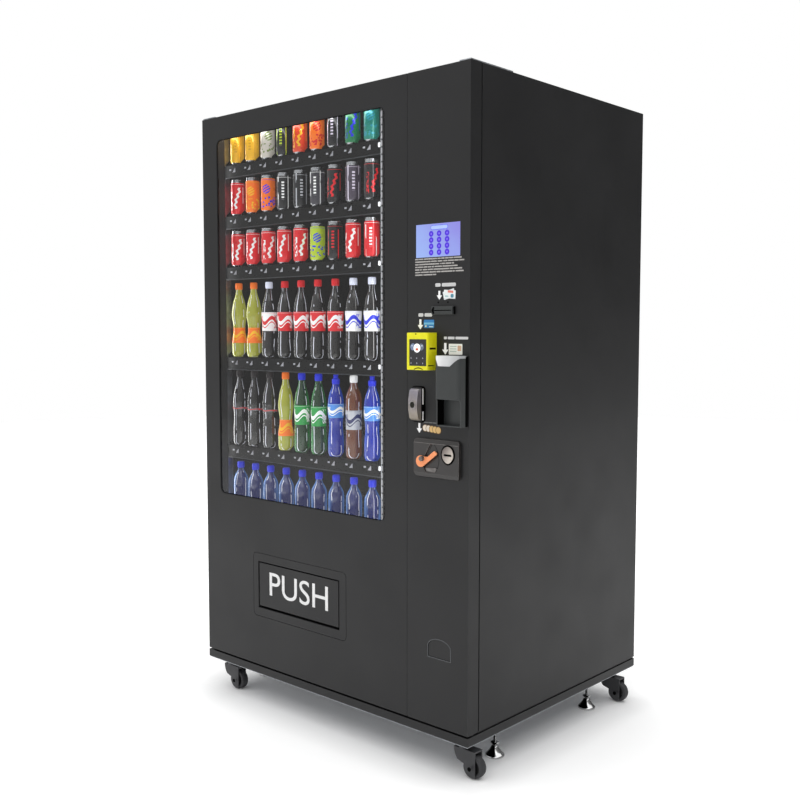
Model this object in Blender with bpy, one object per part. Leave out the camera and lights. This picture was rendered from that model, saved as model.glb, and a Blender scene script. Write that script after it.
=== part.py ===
"""A free-standing vending machine with nine lanes on each of six trays.

Every length is in metres and +Z points up. Places are given as distances from the machine's
left side, from the face of its doors and from the floor. The function at() turns them into the
model's own frame, whose origin lies on the floor under the middle of the whole machine.
"""

import math

import bmesh
import bpy
from mathutils import Matrix, Vector

# Overall sizes
WIDTH = 1.144
DEPTH = 0.902  # door face to back face
DOOR_HEIGHT = 1.800
READER_REACH = 0.040  # how far the card reader stands in front of the doors
FIT = 0.0003  # gap between pieces that rest on each other

# Levels above the floor
PAN_BOTTOM = 0.103
PAN_TOP = 0.1057
PLINTH_BOTTOM = PAN_TOP + FIT
PLINTH_TOP = 0.130
SHELL_BOTTOM = PLINTH_TOP + FIT
DOOR_BOTTOM = 0.136
DOOR_TOP = DOOR_BOTTOM + DOOR_HEIGHT
CEILING = DOOR_TOP - 0.040
BAY_TOP = CEILING - 0.020

# Cabinet
DOOR_THICK = 0.046
CABINET_FACE = 0.050 + FIT
WALL = 0.030
INNER_LEFT = WALL + FIT
INNER_RIGHT = WIDTH - INNER_LEFT
BACK_FACE = DEPTH - WALL
INNER_BACK = BACK_FACE - FIT
SHADOW_STEP = 0.004  # set-back of the sides' bottom edge
PARTITION_LEFT = 0.782
PARTITION_RIGHT = 0.812
FLANGE_RIGHT = 0.918

# Doors
SEAM_LEFT = 0.923
SEAM_RIGHT = 0.926
SKIN = 0.009  # front skin of both doors
PIN_INSET = 0.012  # hinge pin from the side of the machine
PIN_DEPTH = 0.026  # hinge pin behind the door face
PIN_RADIUS = 0.005
PIN_LENGTH = 0.015
HOLE_PLAY = 0.0008
WINDOW = (0.075, 0.838, 0.686, 1.861)  # left, right, bottom, top
WINDOW_CORNER = 0.020
REBATE = 0.008  # overlap of the glass behind the door skin
BAY = (0.060, 0.853, 0.300, BAY_TOP)
SURROUND = (0.2455, 0.6765, 0.3005, 0.5085)
SURROUND_CORNER = 0.014
FLAP_OPENING = (0.269, 0.648, 0.328, 0.482)
FLAP_AXIS = (0.006, 0.474)  # behind the door face, above the floor

# Trays
TRAY_LEVELS = (1.785, 1.615, 1.444, 1.140, 0.838, 0.536)
TRAY_LEFT = 0.033
TRAY_RIGHT = 0.764
TRAY_FRONT = 0.066
TRAY_BACK = 0.742
TRAY_SHEET = 0.0025
MOTOR_FACE = 0.690
RAIL_DROP = 0.040
LANES = 9
LANE_LEFT = 0.035
LANE_PITCH = 0.0786
SPIRAL_LANE = 4  # counted from 0 at the left
SPIRAL_RADIUS = 0.032
SPIRAL_WIRE = 0.002
SPIRAL_PITCH = 0.066
SPIRAL_SEGMENTS = 8

# Casters and levelling feet
CASTER_COLUMNS = (0.062, WIDTH - 0.052)  # swivel axes of the left and right casters
CASTER_ROWS = (0.0545, 0.831)
CASTER_TRAIL = 0.036
FORK_TOP = 0.078
WHEEL_RADIUS = 0.032
WHEEL_WIDTH = 0.025
AXLE_RADIUS = 0.004
FOOT_INSET = 0.062
FOOT_ROWS = (0.207, 0.706)
STEM_RADIUS = 0.005

# Devices on the payment door: left, right, bottom, top
SCREEN = (0.956, 1.111, 1.434, 1.523)
BILL_BEZEL = (1.0165, 1.0945, 1.279, 1.301)
READER = (0.955, 1.032, 1.129, 1.230)
READER_SCREEN = (0.9663, 1.0272, 1.140, 1.2125)
ID_READER = (1.055, 1.139, 0.980, 1.169)
ID_HEAD_BOTTOM = 1.053  # lower edge of the scanner's deep head
ID_REACH = 0.038
ID_CHANNEL_REACH = 0.029  # depth of the channel below the head
SCOOP_FOOT = 1.141  # lower edge of the silver scoop
COIN_PANEL = (0.957, 1.117, 0.833, 0.941)
COIN_REACH = 0.010
CUP = (1.0025, 1.0825, 0.330, 0.362)
CUP_ARCH = 0.021
CUP_AXIS = (0.005, 0.373)
LOCK = (0.964, 1.032)  # left side to centre, floor to centre
COIN_SLOT = (1.066, 1.092, 0.897, 0.9015)
LEVER_PIVOT = (0.994, 0.8855)

SATIN_BLACK = ((0.030, 0.030, 0.031, 1), 0.42, 0.0)
DEEP_BLACK = ((0.010, 0.010, 0.011, 1), 0.55, 0.0)
RUBBER_BLACK = ((0.015, 0.015, 0.016, 1), 0.75, 0.0)
ZINC = ((0.55, 0.56, 0.58, 1), 0.38, 0.9)
CHROME = ((0.80, 0.80, 0.82, 1), 0.12, 1.0)
CLEAR = ((0.80, 0.88, 0.90, 0.25), 0.05, 0.0)
WHITE_GLOW = ((0.90, 0.93, 1.00, 1), 0.30, 0.0)
LAVENDER = ((0.38, 0.40, 0.95, 1), 0.20, 0.0)
YELLOW = ((0.85, 0.83, 0.03, 1), 0.35, 0.0)
SILVER_GREY = ((0.50, 0.50, 0.52, 1), 0.35, 0.3)
ORANGE = ((0.95, 0.30, 0.10, 1), 0.40, 0.0)
COOL_GREY = ((0.22, 0.23, 0.24, 1), 0.50, 0.0)


def at(x, y, z):
    """A model point, from distances to the left side, the door face and the floor."""
    front = -(DEPTH - READER_REACH) / 2
    return Vector((x - WIDTH / 2, y + front, z))


def clear_scene():
    """Removes every object that is already in the file."""
    for old in list(bpy.data.objects):
        bpy.data.objects.remove(old)


def mesh_object(name, bm):
    """Turns a bmesh into a linked object with its faces pointing out."""
    bmesh.ops.recalc_face_normals(bm, faces=bm.faces)
    mesh = bpy.data.meshes.new(name)
    bm.to_mesh(mesh)
    bm.free()
    made = bpy.data.objects.new(name, mesh)
    bpy.context.collection.objects.link(made)
    return made


def prism(outline, axis, low, high):
    """A solid from a flat outline, drawn across one axis and running along it from low to high.

    The outline's pairs are (y, z) across X, (x, z) across Y and (x, y) across Z.
    """
    spread = {
        "X": lambda a, b, c: at(c, a, b),
        "Y": lambda a, b, c: at(a, c, b),
        "Z": lambda a, b, c: at(a, b, c),
    }[axis]
    bm = bmesh.new()
    near = [bm.verts.new(spread(a, b, low)) for a, b in outline]
    far = [bm.verts.new(spread(a, b, high)) for a, b in outline]
    bm.faces.new(near)
    bm.faces.new(far)
    count = len(outline)
    for i in range(count):
        j = (i + 1) % count
        bm.faces.new((near[i], near[j], far[j], far[i]))
    return mesh_object("shape", bm)


def block(x0, x1, y0, y1, z0, z1):
    """A box between two distances on each axis."""
    return prism([(x0, y0), (x1, y0), (x1, y1), (x0, y1)], "Z", z0, z1)


def arc(centre, radius, start, end, steps):
    """Points on an arc, in degrees, counter-clockwise from the first axis when end > start."""
    turn = [math.radians(start + (end - start) * i / steps) for i in range(steps + 1)]
    return [(centre[0] + radius * math.cos(t), centre[1] + radius * math.sin(t)) for t in turn]


def rounded(box, radius, steps=4):
    """The outline of a rectangle (left, right, bottom, top) with rounded corners."""
    left, right, bottom, top = box
    points = arc((right - radius, bottom + radius), radius, -90, 0, steps)
    points += arc((right - radius, top - radius), radius, 0, 90, steps)
    points += arc((left + radius, top - radius), radius, 90, 180, steps)
    points += arc((left + radius, bottom + radius), radius, 180, 270, steps)
    return points


def grown(box, margin):
    """A rectangle (left, right, bottom, top) made larger by a margin on every side."""
    left, right, bottom, top = box
    return (left - margin, right + margin, bottom - margin, top + margin)


def plate(box, y0, y1):
    """A box that is drawn as a rectangle (left, right, bottom, top) on the front."""
    left, right, bottom, top = box
    return block(left, right, y0, y1, bottom, top)


def rod(axis, centre, radius, low, high, segments=16):
    """A cylinder along an axis. The centre's pair follows prism()."""
    outline = arc(centre, radius, 0, 360 - 360 / segments, segments - 1)
    return prism(outline, axis, low, high)


def lathe(outline, centre, axis="Z", segments=16):
    """A turned solid from (radius, height) pairs, whose first and last radius are zero or equal."""
    bm = bmesh.new()
    rings = []
    for radius, height in outline:
        ring = []
        steps = segments if radius > 0 else 1
        for i in range(steps):
            turn = 2 * math.pi * i / steps
            a = radius * math.cos(turn)
            b = radius * math.sin(turn)
            place = Vector((a, b, height)) if axis == "Z" else Vector((a, height, b))
            ring.append(bm.verts.new(centre + place))
        rings.append(ring)
    closed = outline[0][0] > 0
    pairs = list(zip(rings, rings[1:]))
    if closed:
        pairs.append((rings[-1], rings[0]))
    for lower, upper in pairs:
        for i in range(segments):
            j = (i + 1) % segments
            corners = [lower[i % len(lower)], lower[j % len(lower)]]
            corners += [upper[j % len(upper)], upper[i % len(upper)]]
            bm.faces.new(list(dict.fromkeys(corners)))
    return mesh_object("shape", bm)


def combined(base, others, operation):
    """Applies exact Booleans to a base shape and removes the shapes that it used."""
    for other in others:
        modifier = base.modifiers.new(operation, "BOOLEAN")
        modifier.operation = operation
        modifier.solver = "EXACT"
        modifier.object = other
    bpy.context.view_layer.update()
    graph = bpy.context.evaluated_depsgraph_get()
    mesh = bpy.data.meshes.new_from_object(base.evaluated_get(graph))
    base.modifiers.clear()
    base.data = mesh
    for other in others:
        bpy.data.objects.remove(other)
    return base


def union(base, *others):
    """One solid from several that overlap."""
    return combined(base, others, "UNION")


def cut(base, *others):
    """A solid less the others."""
    return combined(base, others, "DIFFERENCE")


def tidy(mesh):
    """Merges doubled points and flat leftovers of the Booleans."""
    bm = bmesh.new()
    bm.from_mesh(mesh)
    bmesh.ops.remove_doubles(bm, verts=bm.verts, dist=0.00001)
    bmesh.ops.dissolve_limit(bm, angle_limit=math.radians(0.5), verts=bm.verts, edges=bm.edges)
    bmesh.ops.triangulate(bm, faces=bm.faces)
    bm.to_mesh(mesh)
    bm.free()


def finished(shape, name, finish, origin=None, smooth=False):
    """Names a shape, gives it its material and puts its origin on the joint axis."""
    tidy(shape.data)
    shape.name = name
    shape.data.name = name
    if origin is not None:
        shape.data.transform(Matrix.Translation(-origin))
        shape.location = origin
    if smooth:
        shape.data.shade_smooth()
        shape.data.set_sharp_from_angle(angle=math.radians(35))
    colour, roughness, metallic = finish
    material = bpy.data.materials.new(name)
    material.use_nodes = True
    shader = material.node_tree.nodes["Principled BSDF"]
    shader.inputs["Base Color"].default_value = colour
    shader.inputs["Roughness"].default_value = roughness
    shader.inputs["Metallic"].default_value = metallic
    shader.inputs["Alpha"].default_value = colour[3]
    shape.data.materials.clear()
    shape.data.materials.append(material)
    return shape


def copies(first, names, places):
    """More objects that share the first one's mesh, each at its own place."""
    for name, place in zip(names, places):
        twin = bpy.data.objects.new(name, first.data)
        twin.location = place
        bpy.context.collection.objects.link(twin)


# ---- Base ----------------------------------------------------------------------------------


def foot_centres():
    """The four levelling feet, as (name ending, x, y)."""
    columns = (("left", FOOT_INSET), ("right", WIDTH - FOOT_INSET))
    rows = zip(("front", "rear"), FOOT_ROWS)
    return [(f"{row}_{column}", x, y) for row, y in rows for column, x in columns]


def caster_centres():
    """The four swivel axes, as (name ending, x, y)."""
    columns = list(zip(("left", "right"), CASTER_COLUMNS))
    rows = zip(("front", "rear"), CASTER_ROWS)
    return [(f"{row}_{column}", x, y) for row, y in rows for column, x in columns]


def base_pan():
    """Galvanised floor plate with a welded, bored block for each levelling foot."""
    lip = 0.002
    half = 0.020
    block_bottom = 0.083
    pan = block(lip, WIDTH - lip, lip, DEPTH - lip, PAN_BOTTOM, PAN_TOP)
    blocks = []
    holes = []
    for _, x, y in foot_centres():
        blocks.append(block(x - half, x + half, y - half, y + half, block_bottom, PAN_BOTTOM + 0.001))
        hole_radius = STEM_RADIUS + HOLE_PLAY
        holes.append(rod("Z", (x, y), hole_radius, block_bottom - 0.01, PAN_TOP + 0.01, 12))
    finished(cut(union(pan, *blocks), *holes), "base_pan", ZINC)


def base_plinth():
    """Black frame under the doors and walls, with the lower hinge pins welded to it."""
    rim = 0.040
    pad_radius = 0.009
    pad_top = DOOR_BOTTOM - 0.0006
    frame = block(0, WIDTH, 0, DEPTH, PLINTH_BOTTOM, PLINTH_TOP)
    hollow = block(rim, WIDTH - rim, rim, DEPTH - rim, PLINTH_BOTTOM - 0.01, PLINTH_TOP + 0.01)
    frame = cut(frame, hollow)
    pins = []
    for x in (PIN_INSET, WIDTH - PIN_INSET):
        steps = [(0, PLINTH_TOP - 0.004), (pad_radius, PLINTH_TOP - 0.004), (pad_radius, pad_top)]
        steps += [(PIN_RADIUS, pad_top), (PIN_RADIUS, DOOR_BOTTOM + PIN_LENGTH)]
        steps += [(0, DOOR_BOTTOM + PIN_LENGTH)]
        pins.append(lathe(steps, at(x, PIN_DEPTH, 0), segments=12))
    finished(union(frame, *pins), "base_plinth", SATIN_BLACK)


# ---- Cabinet -------------------------------------------------------------------------------


def side_panels():
    """Foam-filled side walls, whose bottom edge is set back to leave a dark line."""
    outline = [(0, DOOR_BOTTOM), (0, DOOR_TOP), (WALL, DOOR_TOP), (WALL, SHELL_BOTTOM)]
    outline += [(SHADOW_STEP, SHELL_BOTTOM), (SHADOW_STEP, DOOR_BOTTOM)]
    left = prism(outline, "Y", CABINET_FACE, DEPTH)
    finished(left, "left_side_panel", SATIN_BLACK)
    mirrored = [(WIDTH - x, z) for x, z in outline]
    right = prism(mirrored, "Y", CABINET_FACE, DEPTH)
    finished(right, "right_side_panel", SATIN_BLACK)


def top_panel():
    """Insulated lid between the side walls."""
    lid = block(INNER_LEFT, INNER_RIGHT, CABINET_FACE, DEPTH, CEILING, DOOR_TOP)
    finished(lid, "top_panel", SATIN_BLACK)


def back_panel():
    """Rear wall with air slots at the level of the cooling unit."""
    panel = block(INNER_LEFT, INNER_RIGHT, BACK_FACE, DEPTH, SHELL_BOTTOM, CEILING - FIT)
    slots = []
    for i in range(8):
        z = 0.170 + 0.026 * i
        slots.append(block(0.340, 0.780, BACK_FACE - 0.01, DEPTH + 0.01, z, z + 0.011))
    finished(cut(panel, *slots), "back_panel", SATIN_BLACK)


def partition_wall():
    """Wall between the products and the control bay, with a flange that both doors close on."""
    flange_back = CABINET_FACE + 0.010
    outline = [(PARTITION_LEFT, CABINET_FACE), (FLANGE_RIGHT, CABINET_FACE)]
    outline += [(FLANGE_RIGHT, flange_back), (PARTITION_RIGHT, flange_back)]
    outline += [(PARTITION_RIGHT, INNER_BACK), (PARTITION_LEFT, INNER_BACK)]
    wall = prism(outline, "Z", SHELL_BOTTOM, CEILING - FIT)
    finished(wall, "partition_wall", DEEP_BLACK)


def compartment_floor():
    """Stepped insulated floor: it leaves room for the delivery bin and covers the cooling unit."""
    step_top = 0.292
    floor_top = 0.430
    bin_back = 0.252
    thick = 0.022
    front = CABINET_FACE
    outline = [(front, SHELL_BOTTOM), (front, step_top), (bin_back, step_top)]
    outline += [(bin_back, floor_top), (INNER_BACK, floor_top), (INNER_BACK, floor_top - thick)]
    outline += [(bin_back + thick, floor_top - thick), (bin_back + thick, step_top - thick)]
    outline += [(front + thick, step_top - thick), (front + thick, SHELL_BOTTOM)]
    floor = prism(outline, "X", INNER_LEFT, PARTITION_LEFT - FIT)
    finished(floor, "compartment_floor", DEEP_BLACK)


def uprights():
    """Tray posts, each with one hook slot per tray."""
    posts = (
        ("left_upright", INNER_LEFT, TRAY_LEFT - FIT),
        ("right_upright", TRAY_RIGHT + 0.004, PARTITION_LEFT - FIT),
    )
    front = 0.058
    for name, x0, x1 in posts:
        post = block(x0, x1, front, front + 0.030, 0.440, 1.890)
        slots = []
        for level in TRAY_LEVELS:
            z = level - RAIL_DROP / 2
            slots.append(block(x0 - 0.01, x1 + 0.01, front + 0.012, front + 0.018, z, z + 0.016))
        finished(cut(post, *slots), name, SILVER_GREY)


def light_strip():
    """Lamp under the ceiling, in front of the trays."""
    left, right = 0.060, 0.745
    middle = (0.059, CEILING - FIT)
    outline = [(middle[0] + 0.007, middle[1])]
    outline += [(middle[0] - 0.007, middle[1])]
    outline += arc((middle[0], middle[1] - 0.006), 0.007, 180, 360, 6)
    finished(prism(outline, "X", left, right), "light_strip", WHITE_GLOW)


def top_hinge_plates():
    """Plates on the roof that reach over each door and carry its upper pin."""
    thick = 0.0037
    bottom = DOOR_TOP + FIT
    spans = (
        ("top_left_hinge_plate", 0.004, 0.064, PIN_INSET),
        ("top_right_hinge_plate", WIDTH - 0.040, WIDTH - 0.002, WIDTH - PIN_INSET),
    )
    for name, x0, x1, pin_x in spans:
        strip = block(x0, x1, 0.002, 0.188, bottom, bottom + thick)
        low = DOOR_TOP - PIN_LENGTH
        pin = rod("Z", (pin_x, PIN_DEPTH), PIN_RADIUS, low, bottom + thick / 2, 12)
        finished(union(strip, pin), name, ZINC)


# ---- Trays and spirals -----------------------------------------------------------------------


def tray(number, level):
    """A shelf with a price rail in front and the motor box of its spirals behind."""
    rail_back = TRAY_FRONT + TRAY_SHEET
    bottom = level - TRAY_SHEET
    motor_top = level + 0.062
    outline = [(TRAY_FRONT, level - RAIL_DROP), (TRAY_FRONT, level + 0.003)]
    outline += [(rail_back, level + 0.003), (rail_back, level), (MOTOR_FACE, level)]
    outline += [(MOTOR_FACE, motor_top), (TRAY_BACK, motor_top), (TRAY_BACK, bottom)]
    outline += [(rail_back, bottom), (rail_back, level - RAIL_DROP)]
    finished(prism(outline, "X", TRAY_LEFT, TRAY_RIGHT), f"tray_{number}", DEEP_BLACK)


def spiral_path():
    """Points of the wire from its drive end: shaft, arm, then the helix to the front."""
    start = MOTOR_FACE - 0.004
    helix_start = MOTOR_FACE - 0.024
    helix_end = TRAY_FRONT + 0.020
    turns = (helix_start - helix_end) / SPIRAL_PITCH
    steps = round(turns * SPIRAL_SEGMENTS)
    points = [Vector((0, start, 0)), Vector((0, helix_start, 0))]
    for i in range(steps + 1):
        turn = 2 * math.pi * i / SPIRAL_SEGMENTS
        y = helix_start - (helix_start - helix_end) * i / steps
        points.append(Vector((SPIRAL_RADIUS * math.cos(turn), y, SPIRAL_RADIUS * math.sin(turn))))
    return points


def wire(points, radius):
    """A four-sided wire through the points, closed at both ends."""
    bm = bmesh.new()
    rings = []
    across = Vector((0, 0, 1))
    last = len(points) - 1
    for i, point in enumerate(points):
        ahead = points[min(i + 1, last)] - points[max(i - 1, 0)]
        ahead.normalize()
        across = (across - ahead * across.dot(ahead)).normalized()
        side = ahead.cross(across)
        ring = []
        for k in range(4):
            turn = math.pi / 4 + math.pi / 2 * k
            offset = across * math.cos(turn) + side * math.sin(turn)
            ring.append(bm.verts.new(point + offset * radius))
        rings.append(ring)
    for near, far in zip(rings, rings[1:]):
        for k in range(4):
            j = (k + 1) % 4
            bm.faces.new((near[k], near[j], far[j], far[k]))
    bm.faces.new(rings[0])
    bm.faces.new(rings[-1])
    return mesh_object("shape", bm)


def spirals():
    """One product spiral per tray. All six share a mesh."""
    x = LANE_LEFT + LANE_PITCH * (SPIRAL_LANE + 0.5)
    rise = SPIRAL_RADIUS + SPIRAL_WIRE + 0.0008
    places = [at(x, 0, level + rise) for level in TRAY_LEVELS]
    coil = wire(spiral_path(), SPIRAL_WIRE)
    first = finished(coil, "spiral_1", CHROME, smooth=True)
    first.location = places[0]
    copies(first, [f"spiral_{i}" for i in range(2, 7)], places[1:])


# ---- Cooling unit and controls -----------------------------------------------------------------


def compressor():
    """Domed compressor can on its foot plate."""
    x, y, low = 0.250, 0.580, PLINTH_BOTTOM
    foot = block(x - 0.090, x + 0.090, y - 0.065, y + 0.065, low, low + 0.006)
    radius = 0.074
    steps = [(0, low + 0.004), (0.060, low + 0.004), (radius, low + 0.030)]
    steps += [(radius, low + 0.150), (0.060, low + 0.182), (0.030, low + 0.194), (0, low + 0.196)]
    can = lathe(steps, at(x, y, 0), segments=20)
    finished(union(foot, can), "compressor", SATIN_BLACK, smooth=True)


FAN_CENTRE = (0.560, 0.250)
FAN_FRONT = 0.500
FAN_BACK = 0.528


def condenser():
    """Finned heat exchanger with the fan's motor on its front."""
    left, right = 0.420, 0.700
    front, root, back = 0.560, 0.566, 0.604
    fins = 14
    pitch = (right - left) / fins
    outline = [(left, front), (right, front)]
    for i in range(fins):
        edge = right - pitch * i
        outline += [(edge, back), (edge - pitch * 0.35, back)]
        outline += [(edge - pitch * 0.35, root), (edge - pitch, root)]
    outline.pop()
    outline += [(left, root)]
    block_of_fins = prism(outline, "Z", PLINTH_BOTTOM, 0.390)
    motor = rod("Y", FAN_CENTRE, 0.028, FAN_BACK + 0.002, front + 0.002)
    finished(union(block_of_fins, motor), "condenser", SILVER_GREY)


def condenser_fan():
    """Five-bladed fan on the motor's shaft."""
    x, z = FAN_CENTRE
    middle = (FAN_FRONT + FAN_BACK) / 2
    hub = rod("Y", FAN_CENTRE, 0.026, FAN_FRONT, FAN_BACK)
    blades = []
    for i in range(5):
        blade = block(x - 0.022, x + 0.022, middle - 0.0012, middle + 0.0012, z + 0.020, z + 0.095)
        centre = at(x, middle, z)
        pitch = Matrix.Rotation(math.radians(28), 4, "Z")
        turn = Matrix.Rotation(math.radians(72 * i), 4, "Y")
        moved = Matrix.Translation(centre) @ turn @ pitch @ Matrix.Translation(-centre)
        blade.data.transform(moved)
        blades.append(blade)
    fan = union(hub, *blades)
    finished(fan, "condenser_fan", DEEP_BLACK, origin=at(x, middle, z))


def power_box():
    """Control electronics on the bay side of the partition."""
    left = PARTITION_RIGHT + FIT
    case = block(left, left + 0.060, 0.300, 0.560, 1.020, 1.380)
    lid = block(left + 0.058, left + 0.066, 0.306, 0.554, 1.026, 1.374)
    finished(union(case, lid), "power_box", COOL_GREY)


# ---- Main door ---------------------------------------------------------------------------------


def pin_holes(x):
    """Cutters for a door's lower and upper pin holes."""
    radius = PIN_RADIUS + HOLE_PLAY
    deep = PIN_LENGTH + 0.001
    low = rod("Z", (x, PIN_DEPTH), radius, DOOR_BOTTOM - 0.01, DOOR_BOTTOM + deep, 12)
    high = rod("Z", (x, PIN_DEPTH), radius, DOOR_TOP - deep, DOOR_TOP + 0.01, 12)
    return low, high


def main_door_shell():
    """Deep door pan with the window, the drop bay behind it and the delivery opening."""
    lip = 0.003
    shell = block(0, SEAM_LEFT, 0, DOOR_THICK, DOOR_BOTTOM, DOOR_TOP)
    cutters = [
        plate(BAY, SKIN, DOOR_THICK + 0.01),
        prism(rounded(WINDOW, WINDOW_CORNER), "Y", -0.01, SKIN + 0.01),
        plate(grown(WINDOW, REBATE), lip, SKIN + 0.01),
        prism(rounded(grown(SURROUND, 0.0012), SURROUND_CORNER + 0.0012), "Y", -0.01, lip),
        plate(FLAP_OPENING, -0.01, SKIN + 0.01),
        *pin_holes(PIN_INSET),
    ]
    finished(cut(shell, *cutters), "main_door_shell", SATIN_BLACK)


def window_glass():
    """Pane in the rebate behind the door skin."""
    pane = plate(grown(WINDOW, REBATE - 0.0005), 0.0033, 0.0085)
    finished(pane, "window_glass", CLEAR)


def door_gasket():
    """Rubber seal that closes on the cabinet's face."""
    ring = plate((0.010, 0.906, 0.146, 1.924), DOOR_THICK + 0.0004, CABINET_FACE - 0.0004)
    hole = plate((0.022, 0.892, 0.160, 1.910), DOOR_THICK - 0.01, CABINET_FACE + 0.01)
    finished(cut(ring, hole), "door_gasket", RUBBER_BLACK)


def bin_surround():
    """Bezel let into the door face round the delivery flap."""
    bezel = prism(rounded(SURROUND, SURROUND_CORNER), "Y", 0, 0.0026)
    hole = plate(FLAP_OPENING, -0.01, 0.01)
    finished(cut(bezel, hole), "bin_surround", SATIN_BLACK)


def delivery_bin():
    """Catch tray on the back of the door, open in front and on top."""
    sheet = 0.0025
    left, right = 0.255, 0.665
    back = 0.240
    low, high = 0.3045, 0.488
    front = SKIN + 0.0005
    body = block(left, right, front, back, low, high)
    room = block(left + sheet, right - sheet, front - 0.01, back - sheet, low + sheet, high + 0.01)
    finished(cut(body, room), "delivery_bin", DEEP_BLACK)


def delivery_flap():
    """Push flap that hangs from a rod along its top edge."""
    y, z = FLAP_AXIS
    left, right, bottom, top = 0.274, 0.643, 0.336, 0.4775
    panel = block(left, right, 0.0012, 0.0048, bottom, top)
    barrel = rod("X", FLAP_AXIS, 0.0032, left, right, 10)
    rib = block(left + 0.010, right - 0.010, 0.004, 0.011, bottom, bottom + 0.003)
    origin = at((left + right) / 2, y, z)
    finished(union(panel, barrel, rib), "delivery_flap", SATIN_BLACK, origin=origin)


# ---- Payment door ------------------------------------------------------------------------------


def arched(inset):
    """Outline of the coin-return opening: a rectangle under a flat arch, less an inset."""
    left, right, bottom, spring = CUP
    middle = (left + right) / 2
    half = (right - left) / 2 - inset
    points = [(middle - half, bottom + inset), (middle + half, bottom + inset)]
    for i in range(9):
        turn = math.pi * i / 8
        rise = (CUP_ARCH - inset) * math.sin(turn)
        points.append((middle + half * math.cos(turn), spring + rise))
    return points


def payment_door_shell():
    """Narrow door pan with an opening for each payment device."""
    shell = block(SEAM_RIGHT, WIDTH, 0, DOOR_THICK, DOOR_BOTTOM, DOOR_TOP)
    dish = prism(rounded((0.945, 0.983, 0.985, 1.080), 0.008, 3), "Y", -0.004, 0.001)
    shell = union(shell, dish)
    pocket = plate((0.946, 1.118, 0.200, BAY_TOP), SKIN, DOOR_THICK + 0.01)
    cutters = [
        pocket,
        plate(SCREEN, -0.01, SKIN + 0.01),
        plate((1.0215, 1.0885, 1.2815, 1.2985), -0.01, SKIN + 0.01),
        plate((1.045, 1.105, 0.865, 0.925), -0.01, SKIN + 0.01),
        rod("Y", LOCK, 0.0085, -0.01, SKIN + 0.01, 12),
        prism(arched(0), "Y", -0.01, SKIN + 0.01),
        *pin_holes(WIDTH - PIN_INSET),
    ]
    finished(cut(shell, *cutters), "payment_door_shell", SATIN_BLACK)


def touch_screen():
    """Touch display with its case behind the door skin."""
    glass = plate(grown(SCREEN, -0.001), 0.0008, SKIN + 0.004)
    case = plate((0.950, 1.114, 1.424, 1.533), SKIN + FIT, SKIN + 0.022)
    finished(union(glass, case), "touch_screen", LAVENDER)


def bill_validator():
    """Banknote bezel with the validator behind the door skin."""
    bezel = prism(rounded(BILL_BEZEL, 0.003, 2), "Y", -0.006, -FIT)
    neck = plate((1.0225, 1.0875, 1.2825, 1.2975), -0.001, SKIN + 0.004)
    case = plate((1.008, 1.100, 1.150, 1.312), SKIN + FIT, 0.125)
    slot = plate((1.024, 1.086, 1.2885, 1.2915), -0.01, 0.004)
    body = cut(union(bezel, neck, case), slot)
    finished(body, "bill_validator", COOL_GREY)


def card_reader_case():
    """Reader housing with a sunk screen and a card slot in its right side."""
    left, right, bottom, top = READER
    back_step = 0.006
    front = [(left, -FIT), (right, -FIT), (right, -READER_REACH + back_step)]
    front += arc((right - back_step, -READER_REACH + back_step), back_step, 0, -90, 3)[1:]
    front += arc((left + back_step, -READER_REACH + back_step), back_step, 270, 180, 3)
    case = prism(front, "Z", bottom, top)
    sunk = plate(READER_SCREEN, -READER_REACH - 0.01, -READER_REACH + 0.0025)
    slot = block(right - 0.006, right + 0.01, -0.030, -0.004, 1.1845, 1.1895)
    lower_slot = block(right - 0.004, right + 0.01, -0.035, -0.012, 1.1400, 1.1422)
    finished(cut(case, sunk, slot, lower_slot), "card_reader_case", YELLOW)


def card_reader_screen():
    """Dark touch window in the reader's face."""
    front = -READER_REACH + 0.0006
    pane = plate(grown(READER_SCREEN, -FIT), front, -READER_REACH + 0.0022)
    finished(pane, "card_reader_screen", DEEP_BLACK)


def id_footprint():
    """Outline of the card scanner from above, with well-rounded front corners."""
    left, right, _, _ = ID_READER
    corner = 0.009
    front = [(left, -FIT), (right, -FIT)]
    front += arc((right - corner, -ID_REACH + corner), corner, 0, -90, 4)
    front += arc((left + corner, -ID_REACH + corner), corner, 270, 180, 4)
    return front


def scoop_outline(gap):
    """Front outline of the scanner's scoop: a flat foot and a flowing right-hand edge."""
    left, right, _, top = ID_READER
    above = top + 0.01
    foot = SCOOP_FOOT + gap
    outline = [(left + 0.0022 + gap, above), (left + 0.0022 + gap, top - 0.008)]
    outline.append((left + 0.0120 + gap, foot))
    start = left + 0.0525 - gap
    for i in range(7):
        share = i / 6
        x = start + (right + 0.002 - start) * share
        outline.append((x, foot + 0.0225 * share * (1.25 - 0.25 * share)))
    return outline + [(right + 0.002, above)]


def id_reader():
    """Tall card scanner: a deep head with a notch for the scoop, over a shallow channel."""
    left, right, bottom, top = ID_READER
    bend = ID_REACH - ID_CHANNEL_REACH
    profile = [(0, top), (-ID_REACH, top)]
    profile += arc((-ID_REACH, ID_HEAD_BOTTOM - bend), bend, 90, 0, 5)
    profile += [(-ID_CHANNEL_REACH, bottom), (0, bottom)]
    side = prism(profile, "X", left - 0.01, right + 0.01)
    body = combined(prism(id_footprint(), "Z", bottom, top), [side], "INTERSECT")
    wall = 0.003
    channel = block(
        left + wall, right - wall, -ID_REACH + wall, -0.002, bottom + wall, ID_HEAD_BOTTOM + 0.004
    )
    notch = prism(scoop_outline(0), "Y", -ID_REACH - 0.01, -0.004)
    finished(cut(body, channel, notch), "id_reader", SATIN_BLACK)


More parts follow.
